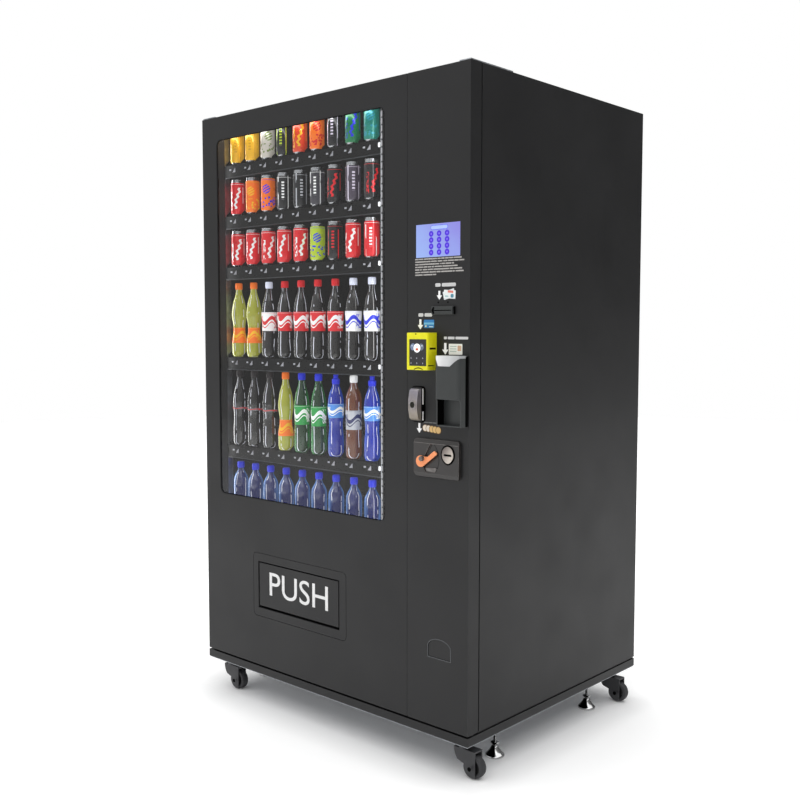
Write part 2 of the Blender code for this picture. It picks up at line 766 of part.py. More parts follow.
def id_reader_hood():
    """Silver scoop that fills the notch in the scanner's head and leans back a little."""
    left, right, _, top = ID_READER
    back = -0.004 - FIT
    profile = [(back, SCOOP_FOOT), (-ID_REACH, SCOOP_FOOT), (-ID_REACH + 0.003, top), (back, top)]
    side = prism(profile, "X", left - 0.01, right + 0.01)
    front = prism(scoop_outline(FIT), "Y", -ID_REACH - 0.01, back)
    body = prism(id_footprint(), "Z", SCOOP_FOOT - 0.01, top)
    finished(combined(body, [side, front], "INTERSECT"), "id_reader_hood", SILVER_GREY)


def t_handle():
    """Pop-out handle on its shaft, with a bored face for the key cylinder."""
    x, z = LOCK
    half_width = 0.016
    outline = [(-0.005, z + 0.044), (-0.012, z + 0.044), (-0.018, z + 0.039)]
    outline += [(-0.0235, z + 0.014), (-0.0235, z - 0.014), (-0.018, z - 0.038)]
    outline += [(-0.012, z - 0.043), (-0.005, z - 0.043)]
    grip = prism(outline, "X", x - half_width, x + half_width)
    shaft = rod("Y", LOCK, 0.0075, -0.006, 0.060, 12)
    nut = rod("Y", LOCK, 0.012, 0.050, 0.058, 6)
    bore = rod("Y", LOCK, 0.0085, -0.03, -0.0130, 16)
    handle = cut(union(grip, shaft, nut), bore)
    finished(handle, "t_handle", SILVER_GREY, origin=at(x, -0.005, z))


def key_cylinder():
    """Barrel of the lock, with its keyway."""
    x, z = LOCK
    barrel = rod("Y", LOCK, 0.0080, -0.0245, -0.0134, 16)
    keyway = block(x - 0.0009, x + 0.0009, -0.03, -0.019, z - 0.0045, z + 0.0045)
    finished(cut(barrel, keyway), "key_cylinder", CHROME, origin=at(x, -0.0245, z), smooth=True)


def coin_acceptor():
    """Coin panel with a sunk field for the lever, the coin slot and the mechanism behind."""
    left, right, bottom, top = COIN_PANEL
    ahead = -COIN_REACH - 0.01
    profile = [(-FIT, bottom), (-0.006, bottom + 0.002), (-COIN_REACH, bottom + 0.012)]
    profile += [(-COIN_REACH, top - 0.013), (-0.006, top - 0.002), (-FIT, top)]
    slopes = prism(profile, "X", left - 0.01, right + 0.01)
    panel = combined(prism(rounded(COIN_PANEL, 0.012), "Y", ahead, 0.001), [slopes], "INTERSECT")
    neck = plate((1.046, 1.104, 0.866, 0.924), -0.001, SKIN + 0.004)
    case = plate((1.000, 1.102, 0.790, 0.930), SKIN + FIT, 0.100)
    sector = arc(LEVER_PIVOT, 0.054, -40, 46, 8)
    sector += [(1.0166, 0.9266), (0.985, 0.872), (1.000, 0.8475)]
    field = prism(sector, "Y", ahead, -0.0045)
    slot = plate(COIN_SLOT, ahead, -0.002)
    pivot = rod("Y", LEVER_PIVOT, 0.0045, ahead, -0.0015, 12)
    body = cut(union(panel, neck, case), field, slot, pivot)
    finished(body, "coin_acceptor", COOL_GREY)


def coin_return_lever():
    """Round-headed lever with a square tip, and its pivot stud behind."""
    px, pz = LEVER_PIVOT
    outline = [(1.0425, 0.8990), (1.0443, 0.9010), (1.0443, 0.9025), (1.0360, 0.9085), (1.0340, 0.9085)]
    outline += [(1.0106, 0.8906)]
    outline += arc((0.9855, 0.877), 0.016, 60, 304, 12)
    front = -COIN_REACH - 0.0055
    lever = prism(outline, "Y", front, -COIN_REACH - 0.0007)
    stud = rod("Y", LEVER_PIVOT, 0.0040, -COIN_REACH - 0.002, -0.0020, 12)
    finished(union(lever, stud), "coin_return_lever", ORANGE, origin=at(px, front, pz))


def coin_return_cup():
    """Box behind the coin-return opening."""
    outer = (0.989, 1.097, 0.316, 0.398)
    sheet = 0.002
    cup = plate(outer, SKIN + FIT, 0.072)
    room = plate(grown(outer, -sheet), SKIN - 0.01, 0.072 - sheet)
    finished(cut(cup, room), "coin_return_cup", DEEP_BLACK)


def coin_return_flap():
    """Arched flap that swings into the cup."""
    y, z = CUP_AXIS
    middle = (CUP[0] + CUP[1]) / 2
    panel = prism(arched(0.0010), "Y", 0.0010, 0.0035)
    barrel = rod("X", CUP_AXIS, 0.0020, middle - 0.027, middle + 0.027, 8)
    finished(union(panel, barrel), "coin_return_flap", SATIN_BLACK, origin=at(middle, y, z))


# ---- Casters and feet --------------------------------------------------------------------------


def fork_outline(x):
    """Side plate of a caster fork: a curved shoulder, then a round lobe over the wheel."""
    axle = (x + CASTER_TRAIL, WHEEL_RADIUS)
    front = axle[0] + 0.012
    points = [(front, FORK_TOP), (x - 0.026, FORK_TOP)]
    points += arc((x + 0.021, FORK_TOP - 0.002), 0.047, 182, 222, 4)
    points += arc(axle, 0.0285, 168, 292, 9)
    return [*points, (front, WHEEL_RADIUS - 0.022)]


def caster_forks():
    """Four swivel forks. Each carries its axle, and all share one mesh."""
    names = [f"caster_fork_{ending}" for ending, _, _ in caster_centres()]
    places = [at(x, y, 0) for _, x, y in caster_centres()]
    _, x, y = caster_centres()[0]
    half = WHEEL_WIDTH / 2 + 0.0015
    sheet = 0.003
    outer = half + sheet
    axle_centre = (x + CASTER_TRAIL, WHEEL_RADIUS)
    near = prism(fork_outline(x), "Y", y - outer, y - half)
    far = prism(fork_outline(x), "Y", y + half, y + outer)
    crown = block(
        x - 0.026, axle_centre[0] + 0.012, y - outer, y + outer, FORK_TOP - 0.0035, FORK_TOP + 0.0005
    )
    steps = [(0, FORK_TOP - 0.001), (0.018, FORK_TOP - 0.001), (0.018, 0.084), (0.026, 0.090)]
    race = lathe([*steps, (0.026, 0.1025), (0, 0.1025)], at(x, y, 0))
    axle = rod("Y", axle_centre, AXLE_RADIUS, y - outer - 0.001, y + outer + 0.001, 10)
    fork = union(crown, near, far, race, axle)
    first = finished(fork, names[0], DEEP_BLACK, origin=places[0])
    copies(first, names[1:], places[1:])


def caster_wheels():
    """Four wheels on the forks' axles, all with one mesh."""
    names = [f"caster_wheel_{ending}" for ending, _, _ in caster_centres()]
    places = [at(x + CASTER_TRAIL, y, WHEEL_RADIUS) for _, x, y in caster_centres()]
    half = WHEEL_WIDTH / 2
    bore = AXLE_RADIUS + HOLE_PLAY
    rim = WHEEL_RADIUS - 0.0015
    steps = [(bore, -half), (0.027, -half), (rim, -half + 0.002), (WHEEL_RADIUS, -half + 0.006)]
    steps += [(WHEEL_RADIUS, half - 0.006), (rim, half - 0.002), (0.027, half), (bore, half)]
    wheel = lathe(steps, places[0], axis="Y", segments=20)
    finished(wheel, names[0], RUBBER_BLACK, origin=places[0], smooth=True)
    copies(wheel, names[1:], places[1:])


def levelling_feet():
    """Four screw feet: a cone on the floor, a nut and a stem through the base block."""
    names = [f"levelling_foot_{ending}" for ending, _, _ in foot_centres()]
    places = [at(x, y, 0) for _, x, y in foot_centres()]
    steps = [(0, 0), (0.027, 0), (0.029, 0.003), (0.027, 0.0065), (0.011, 0.030), (0.008, 0.032)]
    steps += [(STEM_RADIUS, 0.032), (STEM_RADIUS, 0.037), (0.0125, 0.037), (0.0125, 0.043)]
    steps += [(STEM_RADIUS, 0.043), (STEM_RADIUS, 0.118), (0, 0.118)]
    foot = lathe(steps, places[0], segments=16)
    finished(foot, names[0], CHROME, origin=places[0], smooth=True)
    copies(foot, names[1:], places[1:])


def build():
    """Builds the whole machine."""
    clear_scene()
    base_pan()
    base_plinth()
    side_panels()
    top_panel()
    back_panel()
    partition_wall()
    compartment_floor()
    uprights()
    light_strip()
    top_hinge_plates()
    for number, level in enumerate(TRAY_LEVELS, start=1):
        tray(number, level)
    spirals()
    compressor()
    condenser()
    condenser_fan()
    power_box()
    main_door_shell()
    window_glass()
    door_gasket()
    bin_surround()
    delivery_bin()
    delivery_flap()
    payment_door_shell()
    touch_screen()
    bill_validator()
    card_reader_case()
    card_reader_screen()
    id_reader()
    id_reader_hood()
    t_handle()
    key_cylinder()
    coin_acceptor()
    coin_return_lever()
    coin_return_cup()
    coin_return_flap()
    caster_forks()
    caster_wheels()
    levelling_feet()


build()
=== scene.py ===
"""Looks of a vending machine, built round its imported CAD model.

The CAD nodes get their finishes here. The stock, the smooth spirals, the price tags, the lamps'
light-emitting strips, the stickers, the display's picture and the small hardware are new pieces.
Places are (x, y, z) in metres: x from the machine's left side, y behind the face of its doors and z
above the floor. at() turns them into the frame's own coordinates.
"""

import math
import random

import bmesh
import bpy
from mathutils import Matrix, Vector


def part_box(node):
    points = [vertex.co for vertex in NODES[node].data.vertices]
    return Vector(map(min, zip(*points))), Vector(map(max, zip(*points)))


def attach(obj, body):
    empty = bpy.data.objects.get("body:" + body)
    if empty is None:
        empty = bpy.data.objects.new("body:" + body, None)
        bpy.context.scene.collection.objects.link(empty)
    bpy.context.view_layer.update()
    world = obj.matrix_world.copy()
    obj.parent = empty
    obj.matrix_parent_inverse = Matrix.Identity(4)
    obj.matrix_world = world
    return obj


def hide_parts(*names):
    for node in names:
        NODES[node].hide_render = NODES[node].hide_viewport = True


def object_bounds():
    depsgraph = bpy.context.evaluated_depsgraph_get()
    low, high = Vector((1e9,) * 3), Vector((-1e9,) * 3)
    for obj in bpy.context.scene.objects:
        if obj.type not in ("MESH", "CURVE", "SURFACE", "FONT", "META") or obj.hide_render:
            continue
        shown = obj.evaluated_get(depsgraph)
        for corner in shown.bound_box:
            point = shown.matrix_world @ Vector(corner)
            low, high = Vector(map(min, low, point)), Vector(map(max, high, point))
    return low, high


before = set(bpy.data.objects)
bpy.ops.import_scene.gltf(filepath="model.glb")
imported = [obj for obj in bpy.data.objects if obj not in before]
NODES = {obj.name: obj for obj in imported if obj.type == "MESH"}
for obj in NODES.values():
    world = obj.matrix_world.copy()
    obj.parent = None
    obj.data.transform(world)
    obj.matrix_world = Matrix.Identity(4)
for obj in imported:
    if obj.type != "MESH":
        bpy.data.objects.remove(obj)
CAD_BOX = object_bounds()
LEFT_SIDE = CAD_BOX[0].x
DOOR_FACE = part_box("main_door_shell")[0].y
DRAWS = random.Random(7)


def at(x, y, z):
    """A point of the frame, from distances to the left side, the door face and the floor."""
    return Vector((LEFT_SIDE + x, DOOR_FACE + y, z))


def span(node):
    """(left, right, front, back, bottom, top) of a CAD node at rest."""
    low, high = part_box(node)
    ends = (low.x - LEFT_SIDE, high.x - LEFT_SIDE, low.y - DOOR_FACE, high.y - DOOR_FACE)
    return (*ends, low.z, high.z)


def middle(node):
    """Centre (x, y, z) of a CAD node's box."""
    left, right, front, back, bottom, top = span(node)
    return ((left + right) / 2, (front + back) / 2, (bottom + top) / 2)


# Trays and lanes
TRAYS = range(1, 7)
RAIL_DROP = 0.040  # rail below the tray's sheet
RAIL_FRONT = span("tray_1")[2]
LEVELS = {n: span(f"tray_{n}")[4] + RAIL_DROP for n in TRAYS}
LANES = 9
LANE_PITCH = 0.0786
SPIRAL_AXIS = middle("spiral_1")[0]
LANE_AXES = [SPIRAL_AXIS + LANE_PITCH * (n - 4) for n in range(LANES)]
SPIRAL_RISE = 0.0348
SPIRAL_RADIUS = 0.032
SPIRAL_PITCH = 0.066
WIRE_RADIUS = 0.002
STOCK_DEPTH = 0.0885  # where the front product of a lane stands
STOCK_RISE = 0.005  # products stand on the wire
CAN_RADIUS = 0.0235
BOTTLE_RADIUS = 0.0250
STOCK_GLOW = 0.38  # stands for the light that the lamps throw on the stock

# Doors: (x, z) places, and boxes of (left, right, bottom, top)
FLAT = 0.00025  # from the door's face to a sticker's front
FLAT_BACK = 0.00003  # and to its back
PUSH_LETTERS = (0.325, 0.598, 0.377, 0.454)
BEZEL = (1.0165, 1.0945, 1.2790, 1.3010)  # of the banknote validator
COIN_ENTRY = (1.0800, 0.9010)
LEVER_PIVOT = (0.9940, 0.8855)
CUP_OPENING = (1.0025, 1.0825, 0.330, 0.362)  # up to its shoulder, where an arch begins
CUP_ARCH = 0.021  # rise of the arch

# Base and studio
ENDINGS = ("front_left", "front_right", "rear_left", "rear_right")
FLOOR_SHADE = (0.58, 0.44)  # half sides of the floor's shaded part
CAMERA_PLACE = (2.2057, -2.4987, 1.2433)
CAMERA_DROP = 4.145  # degrees below the level
CAMERA_TURN = 42.297  # degrees from straight ahead to the machine's left
FOCAL_LENGTH = 44.86  # millimetres, on a sensor of 36


def tone(red, green, blue):
    """A linear RGBA colour from display values of 0 to 255."""
    parts = [value / 255 for value in (red, green, blue)]
    return (*[p / 12.92 if p <= 0.04045 else ((p + 0.055) / 1.055) ** 2.4 for p in parts], 1.0)


WHITE = tone(238, 238, 238)
BLACK = tone(14, 14, 15)
SILVER = tone(176, 178, 184)
RED = tone(206, 20, 30)
ORANGE = tone(236, 112, 20)
AMBER = tone(232, 176, 24)
LIME = tone(172, 194, 44)
DRINK_GREEN = tone(150, 152, 44)
GREEN = tone(24, 146, 62)
TEAL = tone(18, 122, 108)
AQUA = tone(38, 138, 160)
BLUE = tone(28, 44, 206)
SKY = tone(74, 136, 214)
NAVY = tone(26, 32, 84)
BROWN = tone(88, 42, 14)
COLA = tone(13, 9, 9)
PALE = tone(222, 226, 244)


# ---- Finishes ------------------------------------------------------------------------------------


class Signal:
    """A node's output that takes arithmetic, so that a pattern reads as a formula."""

    def __init__(self, tree, socket):
        self.tree = tree
        self.socket = socket

    def math(self, operation, *others):
        """A Math node on this value and others."""
        made = self.tree.nodes.new("ShaderNodeMath")
        made.operation = operation
        for socket, value in zip(made.inputs, (self, *others)):
            join(self.tree, socket, value)
        return Signal(self.tree, made.outputs[0])

    def __add__(self, other):
        return self.math("ADD", other)

    def __sub__(self, other):
        return self.math("SUBTRACT", other)

    def __mul__(self, other):
        return self.math("MULTIPLY", other)

    def greater(self, other):
        """The greater of two values, which joins two patterns."""
        return self.math("MAXIMUM", other)

    def clamped(self):
        """The value, kept from 0 to 1."""
        return self.greater(0.0).math("MINIMUM", 1.0)

    def above(self, edge):
        """1 where the value is greater than the edge, otherwise 0."""
        return self.math("GREATER_THAN", edge)

    def below(self, edge):
        """1 where the value is less than the edge, otherwise 0."""
        return self.math("LESS_THAN", edge)

    def near(self, place, reach):
        """1 within a distance of a place, otherwise 0."""
        return (self - place).math("ABSOLUTE").below(reach)

    def wave(self, count):
        """A sine with this many turns from 0 to 1."""
        return (self * (2 * math.pi * count)).math("SINE")


def join(tree, socket, value):
    """Sets a node's input to a value, or links another output to it."""
    if isinstance(value, Signal):
        value = value.socket
    if isinstance(value, bpy.types.NodeSocket):
        tree.links.new(value, socket)
    else:
        socket.default_value = value


class Finish:
    """A material on a Principled shader, with procedural colour, roughness and relief."""

    def __init__(self, name, **values):
        self.material = bpy.data.materials.new(name)
        self.material.use_nodes = True
        self.tree = self.material.node_tree
        self.shader = self.tree.nodes["Principled BSDF"]
        self.place = self.add("TexCoord").outputs["Object"]
        self.last_normal = None
        for key, value in values.items():
            self.shader.inputs[key.replace("_", " ")].default_value = value

    def add(self, kind, **values):
        """A new node with its inputs set or linked. An input's name has _ for a space."""
        made = self.tree.nodes.new("ShaderNode" + kind)
        for key, value in values.items():
            join(self.tree, made.inputs[key.replace("_", " ")], value)
        return made

    def noise(self, scale, detail=2.0, stretch=None):
        """Noise from 0 to 1 with this many features to the metre, stretched along an axis if asked."""
        place = self.place
        if stretch:
            place = self.add("Mapping", Vector=place, Scale=stretch).outputs[0]
        made = self.add("TexNoise", Vector=place, Scale=scale, Detail=detail)
        return Signal(self.tree, made.outputs[0])

    def spread(self, value, low, high):
        """Maps noise, which keeps to 0.3 to 0.7, to a range."""
        made = self.add("MapRange", Value=value, From_Min=0.3, From_Max=0.7, To_Min=low, To_Max=high)
        return Signal(self.tree, made.outputs[0])

    def mix(self, share, first, second, blend="MIX"):
        """A mixed colour: the second one where the share is 1."""
        made = self.tree.nodes.new("ShaderNodeMix")
        made.data_type = "RGBA"
        made.blend_type = blend
        join(self.tree, made.inputs[0], share)
        join(self.tree, made.inputs[6], first)
        join(self.tree, made.inputs[7], second)
        return made.outputs[2]

    def painted(self, name):
        """A colour that the mesh holds."""
        made = self.add("VertexColor")
        made.layer_name = name
        return made.outputs["Color"]

    def wrap(self):
        """(across, up) of a turned piece's own surface, each from 0 to 1."""
        made = self.add("UVMap")
        made.uv_map = "wrap"
        across, up, _ = self.parts(made.outputs[0])
        return across.math("FRACT"), up

    def parts(self, vector):
        """The three components of a vector."""
        made = self.add("SeparateXYZ", Vector=vector)
        return [Signal(self.tree, output) for output in made.outputs]

    def faces(self, direction):
        """How much the surface faces a direction: 1 when it looks straight along it."""
        made = self.add("VectorMath", Vector=self.add("NewGeometry").outputs["Normal"])
        made.operation = "DOT_PRODUCT"
        join(self.tree, made.inputs[1], Vector(direction).normalized())
        return Signal(self.tree, made.outputs["Value"])

    def colour(self, base, change=0.12, scale=6):
        """Base colour with cloudy lighter and darker areas."""
        shade = self.spread(self.noise(scale, 4), 1 - change, 1 + change)
        grey = self.add("CombineXYZ", X=shade, Y=shade, Z=shade).outputs[0]
        join(self.tree, self.shader.inputs["Base Color"], self.mix(1.0, base, grey, "MULTIPLY"))
        return self

    def rough(self, low, high, scale=4, stretch=None):
        """Roughness that varies between two values."""
        value = self.spread(self.noise(scale, 3, stretch), low, high)
        join(self.tree, self.shader.inputs["Roughness"], value)
        return self

    def relief(self, scale, depth, detail=2.0, stretch=None):
        """Fine bumps of a depth in metres. A second call adds to the first."""
        made = self.add("Bump", Height=self.noise(scale, detail, stretch), Distance=depth)
        if self.last_normal:
            join(self.tree, made.inputs["Normal"], self.last_normal)
        self.last_normal = made.outputs[0]
        join(self.tree, self.shader.inputs["Normal"], self.last_normal)
        return self

    def lit(self, shown, strength):
        """Light in the piece's own colour: a lamp's or a screen's own glow, and on the stock a painted glow
        that stands in for the light of the many small lamps round it.
        """
        join(self.tree, self.shader.inputs["Emission Color"], shown)
        join(self.tree, self.shader.inputs["Emission Strength"], strength)
        return self

    def worn(self, bare, reach=0.0012, most=0.7):
        """Bare colour along the sharp edges, broken up by noise."""
        rounded_normal = self.add("Bevel", Radius=reach).outputs[0]
        true_normal = self.add("NewGeometry").outputs["Normal"]
        facing = self.add("VectorMath", Vector=rounded_normal)
        facing.operation = "DOT_PRODUCT"
        join(self.tree, facing.inputs[1], true_normal)
        edge = (Signal(self.tree, facing.outputs["Value"]) * -1 + 1) * 9
        share = (edge * self.spread(self.noise(60, 4), 0, 1)).math("MINIMUM", most)
        socket = self.shader.inputs["Base Color"]
        join(self.tree, socket, self.mix(share, socket.links[0].from_socket, bare))
        return self


def plain(name, tint, clouds, roughness, bumps=None, edge=None, glow=0.0, **values):
    """A finish of one colour, or of the colours that the mesh holds where the tint is None.

    clouds is (change, scale), roughness (low, high, scale), bumps (scale, depth) and edge the worn
    edges' (colour, reach, most).
    """
    finish = Finish(name, **values)
    shown = tone(*tint) if tint else finish.painted("tint")
    finish.colour(shown, *clouds).rough(*roughness)
    if bumps:
        finish.relief(*bumps)
    if edge:
        finish.worn(tone(*edge[0]), *edge[1:])
    if glow:
        finish.lit(shown, glow)
    return finish.material


def galvanised():
    """Zinc sheet with its crystal pattern and dulled edges."""
    finish = Finish("galvanised", Metallic=0.85)
    cells = finish.add("TexVoronoi", Vector=finish.place, Scale=70.0)
    crystal = finish.mix(cells.outputs["Color"], tone(150, 153, 158), tone(182, 185, 190))
    finish.colour(crystal, 0.08, 9).rough(0.32, 0.48, 20).relief(60, 0.00005)
    return finish.worn(tone(214, 216, 220), 0.0012, 0.5).material


def foot_plating_painted_reflection():
    """Polished plating with a painted reflection: its facets that face front left are dark, for the
    machine's dark underside mirrored there.
    """
    finish = Finish("foot_plating_painted_reflection", Metallic=1.0)
    # Painted reflection: dark on the facets that face front left, above the base rim
    dark = ((finish.faces((-0.74, -0.67, 0)) - 0.02) * 14).clamped()
    dark = dark * finish.parts(finish.place)[2].above(0.006)
    shown = finish.mix(dark, tone(206, 206, 206), tone(6, 6, 6))
    return finish.colour(shown, 0.05, 30).rough(0.10, 0.2, 40).relief(900, 0.00002).material


def coin_metal_painted_shade():
    """Warm worn plating round the coin slot, with painted shade and highlight: darker towards its upper
    left, brighter towards its lower right.
    """
    finish = Finish("coin_metal_painted_shade", Metallic=0.35, Coat_Weight=0.2)
    x, _, z = finish.parts(finish.place)
    middle_x, _, middle_z = at(COIN_ENTRY[0], 0, COIN_ENTRY[1])
    # Painted shade and highlight: darker towards the upper left of the coin entry, lighter towards its lower
    # right
    share = ((x - middle_x) * 24 - (z - middle_z) * 18 + 0.6).clamped()
    finish.colour(finish.mix(share, tone(112, 102, 98), tone(206, 196, 186)), 0.1, 60).rough(0.3, 0.45, 60)
    return finish.relief(700, 0.00006).worn(tone(236, 228, 216), 0.001, 0.6).material


def silver_plastic_painted_shade():
    """Pale metallic moulding of the scanner's scoop, with painted shade that turns it greyer towards its
    right end.
    """
    finish = Finish("silver_plastic_painted_shade", Metallic=0.05)
    left, right = span("id_reader_hood")[:2]
    # Painted shade: greyer from the scoop's left end to its right end
    share = ((finish.parts(finish.place)[0] - (LEFT_SIDE + left)) * (1 / (right - left))).clamped()
    finish.colour(finish.mix(share, tone(244, 244, 244), tone(176, 178, 180)), 0.05, 30)
    return finish.rough(0.3, 0.42, 30).relief(1300, 0.00004).material


def cast_metal_painted_reflection():
    """Satin zinc casting with a painted reflection, lilac above and warmer below, and a pebbled skin and
    rubbed edges.
    """
    finish = Finish("cast_metal_painted_reflection", Metallic=0.4)
    bottom, top = span("t_handle")[4:]
    # Painted reflection: lilac towards the top, warmer towards the bottom, mottled by noise
    height = (finish.parts(finish.place)[2] - bottom) * (1 / (top - bottom))
    share = (height + finish.noise(60, 3) * 0.5 - 0.25).clamped()
    finish.colour(finish.mix(share, tone(150, 140, 124), tone(150, 146, 158)), 0.14, 40)
    finish.rough(0.30, 0.5, 30).relief(380, 0.00025, 3)
    return finish.worn(tone(214, 212, 216), 0.0016, 0.8).material


def display_picture():
    """Glowing display: pale blue, turning to lilac in its upper right corner."""
    finish = Finish("display_picture", Roughness=0.2)
    left, right, _, _, bottom, top = span("touch_screen")
    x, _, z = finish.parts(finish.place)
    across = (x - (LEFT_SIDE + left)) * (1 / (right - left))
    up = (z - bottom) * (1 / (top - bottom))
    share = (across * 0.7 + up * 0.5 + finish.noise(25, 1) * 0.3 - 0.25).math("MINIMUM", 1.0)
    shown = finish.mix(share, tone(160, 188, 250), tone(146, 142, 232))
    join(finish.tree, finish.shader.inputs["Base Color"], finish.mix(0.9, shown, BLACK))
    return finish.rough(0.12, 0.25, 30).lit(shown, 0.86).material


def glowing(name, colour, strength, base=None):
    """A lamp's diffuser: bright, with faint mottling."""
    finish = Finish(name, Roughness=0.4)
    shade = finish.spread(finish.noise(90, 2), 0.9, 1.05)
    finish.shader.inputs["Base Color"].default_value = base or colour
    return finish.rough(0.3, 0.5, 60).lit(colour, shade * strength).material


def window_pane():
    """Clear glass whose front mirrors a little, more so at a low angle."""
    finish = Finish("window_pane")
    clear = finish.add("BsdfTransparent", Color=(0.97, 0.975, 0.975, 1))
    smears = finish.spread(finish.noise(6, 4), 0.01, 0.05)
    mirror = finish.add("BsdfAnisotropic", Color=(1, 1, 1, 1), Roughness=smears)
    behind = Signal(finish.tree, finish.add("NewGeometry").outputs["Backfacing"])
    share = Signal(finish.tree, finish.add("Fresnel", IOR=1.16).outputs[0]) + 0.035
    both = finish.add("MixShader")
    for socket, value in zip(both.inputs, (share * (behind * -1 + 1), clear.outputs[0], mirror.outputs[0])):
        join(finish.tree, socket, value)
    join(finish.tree, finish.tree.nodes["Material Output"].inputs["Surface"], both.outputs[0])
    return finish.material


def ribbon(finish, across, up):
    """A ribbon that climbs the can in an S between small loops, and small print beside it."""
    lean = up.wave(0.9) * 0.05 - up.wave(6) * 0.018
    rope = (across - lean).near(0.48, 0.028) * up.near(0.5, 0.34)
    side = across.near(0.64, 0.030) * up.near(0.42, 0.30) * finish.noise(300, 0, (1, 1, 0.4)).above(0.52)
    return rope.greater(side).greater(across.near(0.34, 0.008) * up.near(0.6, 0.26))


def marks(finish, across, up):
    """A column of plain blocks, and a broken bright line down each side of the can."""
    column = across.near(0.50, 0.030) * up.near(0.55, 0.28) * (up * 11).math("FRACT").above(0.45)
    sides = across.near(0.38, 0.010).greater(across.near(0.62, 0.014))
    return column.greater(sides * finish.noise(90, 1, (1, 1, 0.3)).above(0.44))


def badge(finish, across, up):
    """An oval badge with a pale rim, and round drops below it."""
    reach = ((across - 0.48) * 7).math("POWER", 2.0) + ((up - 0.66) * 4.4).math("POWER", 2.0)
    rim = reach.below(0.42) * (up * 12 + across * 9).math("FRACT").above(0.4)
    cells = finish.add("TexVoronoi", Vector=finish.place, Scale=110.0)
    return rim.greater(Signal(finish.tree, cells.outputs["Distance"]).below(0.40) * up.near(0.26, 0.17))


def squiggle(finish, across, up):
    """A broad and a thin wave round the label, small print and a plain strip of bars."""
    crest = up - across.wave(3) * 0.15
    line = crest.near(0.56, 0.10).greater(crest.near(0.33, 0.03))
    bars_beside = (across * 90).math("FRACT").above(0.5) * across.near(0.66, 0.035) * up.near(0.5, 0.3)
    small = finish.noise(330, 0, (1, 1, 0.3)).above(0.53) * across.near(0.32, 0.05) * up.near(0.5, 0.36)
    return line.greater(bars_beside).greater(small)


def label_print(pattern, metallic, roughness):
    """A wrap-round print: a pattern in the accent colour, and a line near the upper end, with a painted glow
    for the lamps round the stock.
    """
    finish = Finish(f"print_{pattern.__name__}", Metallic=metallic, Coat_Weight=0.5)
    across, up = finish.wrap()
    share = pattern(finish, across, up).greater(up.near(0.95, 0.005))
    shown = finish.mix(share, finish.painted("tint"), finish.painted("accent"))
    finish.colour(shown, 0.08, 40).rough(roughness, roughness + 0.1, 30).lit(shown, STOCK_GLOW)
    return finish.relief(60, 0.00006).material


def drink_with_painted_light():
    """Filled bottle with painted light: deep colour in the middle, a paler rim as a painted reflection, a
    broken painted glint down each side, and a painted glow for the lamps round the stock.
    """
    finish = Finish("drink_with_painted_light", Coat_Weight=1.0, Coat_Roughness=0.06)
    edge = Signal(finish.tree, finish.add("LayerWeight", Blend=0.5).outputs["Facing"])
    ripple = finish.noise(42, 2, (1, 1, 0.45))
    # Painted reflection: a paler rim where the surface turns away from the view
    rim = (edge * 1.5 + ripple * 0.9 - 0.75).clamped()
    drink = finish.mix(rim, finish.painted("tint"), finish.painted("accent"))
    # Painted highlight: a broken glint down each side
    glint = (edge + (ripple - 0.5) * 0.20).near(0.22, 0.030)
    glint = glint * finish.noise(75, 1, (1, 1, 0.5)).above(0.44)
    shown = finish.mix(glint, drink, tone(226, 228, 240))
    finish.colour(shown, 0.08, 30).rough(0.10, 0.2, 30).lit(shown, STOCK_GLOW)
    return finish.relief(35, 0.0004, 1, (1, 1, 0.6)).material


def pale_floor_painted_light():
    """Matt studio floor with painted light: a faint glow everywhere, stronger away from the machine and
    stronger again to the camera, so that the camera sees it turn to white away from the machine.
    """
    finish = Finish("pale_floor_painted_light", Specular_IOR_Level=0.05)
    x, y, _ = finish.parts(finish.place)
    beside = (x.math("ABSOLUTE") - FLOOR_SHADE[0]).greater(0.0)
    ahead = (y.math("ABSOLUTE") - FLOOR_SHADE[1]).greater(0.0)
    away = (beside * beside + ahead * ahead).math("SQRT")
    seen = Signal(finish.tree, finish.add("LightPath").outputs["Is Camera Ray"])
    glow = (away * 0.16).math("MINIMUM", 0.11) + (away * 2.0).math("MINIMUM", 0.20) * seen + 0.03
    finish.lit((1, 1, 1, 1), glow)
    return finish.colour(tone(250, 250, 250), 0.01, 2).rough(0.7, 0.8, 3).relief(40, 0.0001).material


# Powder coat with a fine orange peel
COATING = plain("black_coating", (29, 29, 30), (0.10, 3), (0.40, 0.50, 5), (520, 0.00008),
                ((70, 70, 72), 0.0009, 0.35), Specular_IOR_Level=0.385)
# Matt black of the trays, the floor and the partition
INNER = plain("inner_black", (8, 8, 9), (0.15, 6), (0.5, 0.65, 8), (700, 0.00006), Specular_IOR_Level=0.15)
# Unlit inside of slots, gaps and notches
SLOT = plain("slot_black", (3, 3, 3), (0.2, 60), (0.8, 0.95, 40), (900, 0.00003), Specular_IOR_Level=0.05)
# Dull plated wire of the spirals
WIRE = plain("zinc_wire", (92, 93, 98), (0.1, 30), (0.3, 0.45, 40), (900, 0.00003), Metallic=0.9)
# Dusty matt rubber, and the casters' non-marking tread
RUBBER = plain("rubber", (24, 24, 25), (0.2, 40), (0.7, 0.9, 30), (700, 0.00012), Specular_IOR_Level=0.25)
TREAD = plain("tread_rubber", (62, 62, 64), (0.15, 60), (0.55, 0.7, 30), (700, 0.00010),
              Specular_IOR_Level=0.3)
# Moulded black plastic with a spark-eroded grain
PLASTIC = plain("black_plastic", (19, 19, 20), (0.12, 14), (0.38, 0.5, 14), (1100, 0.00008),
                Specular_IOR_Level=0.4)
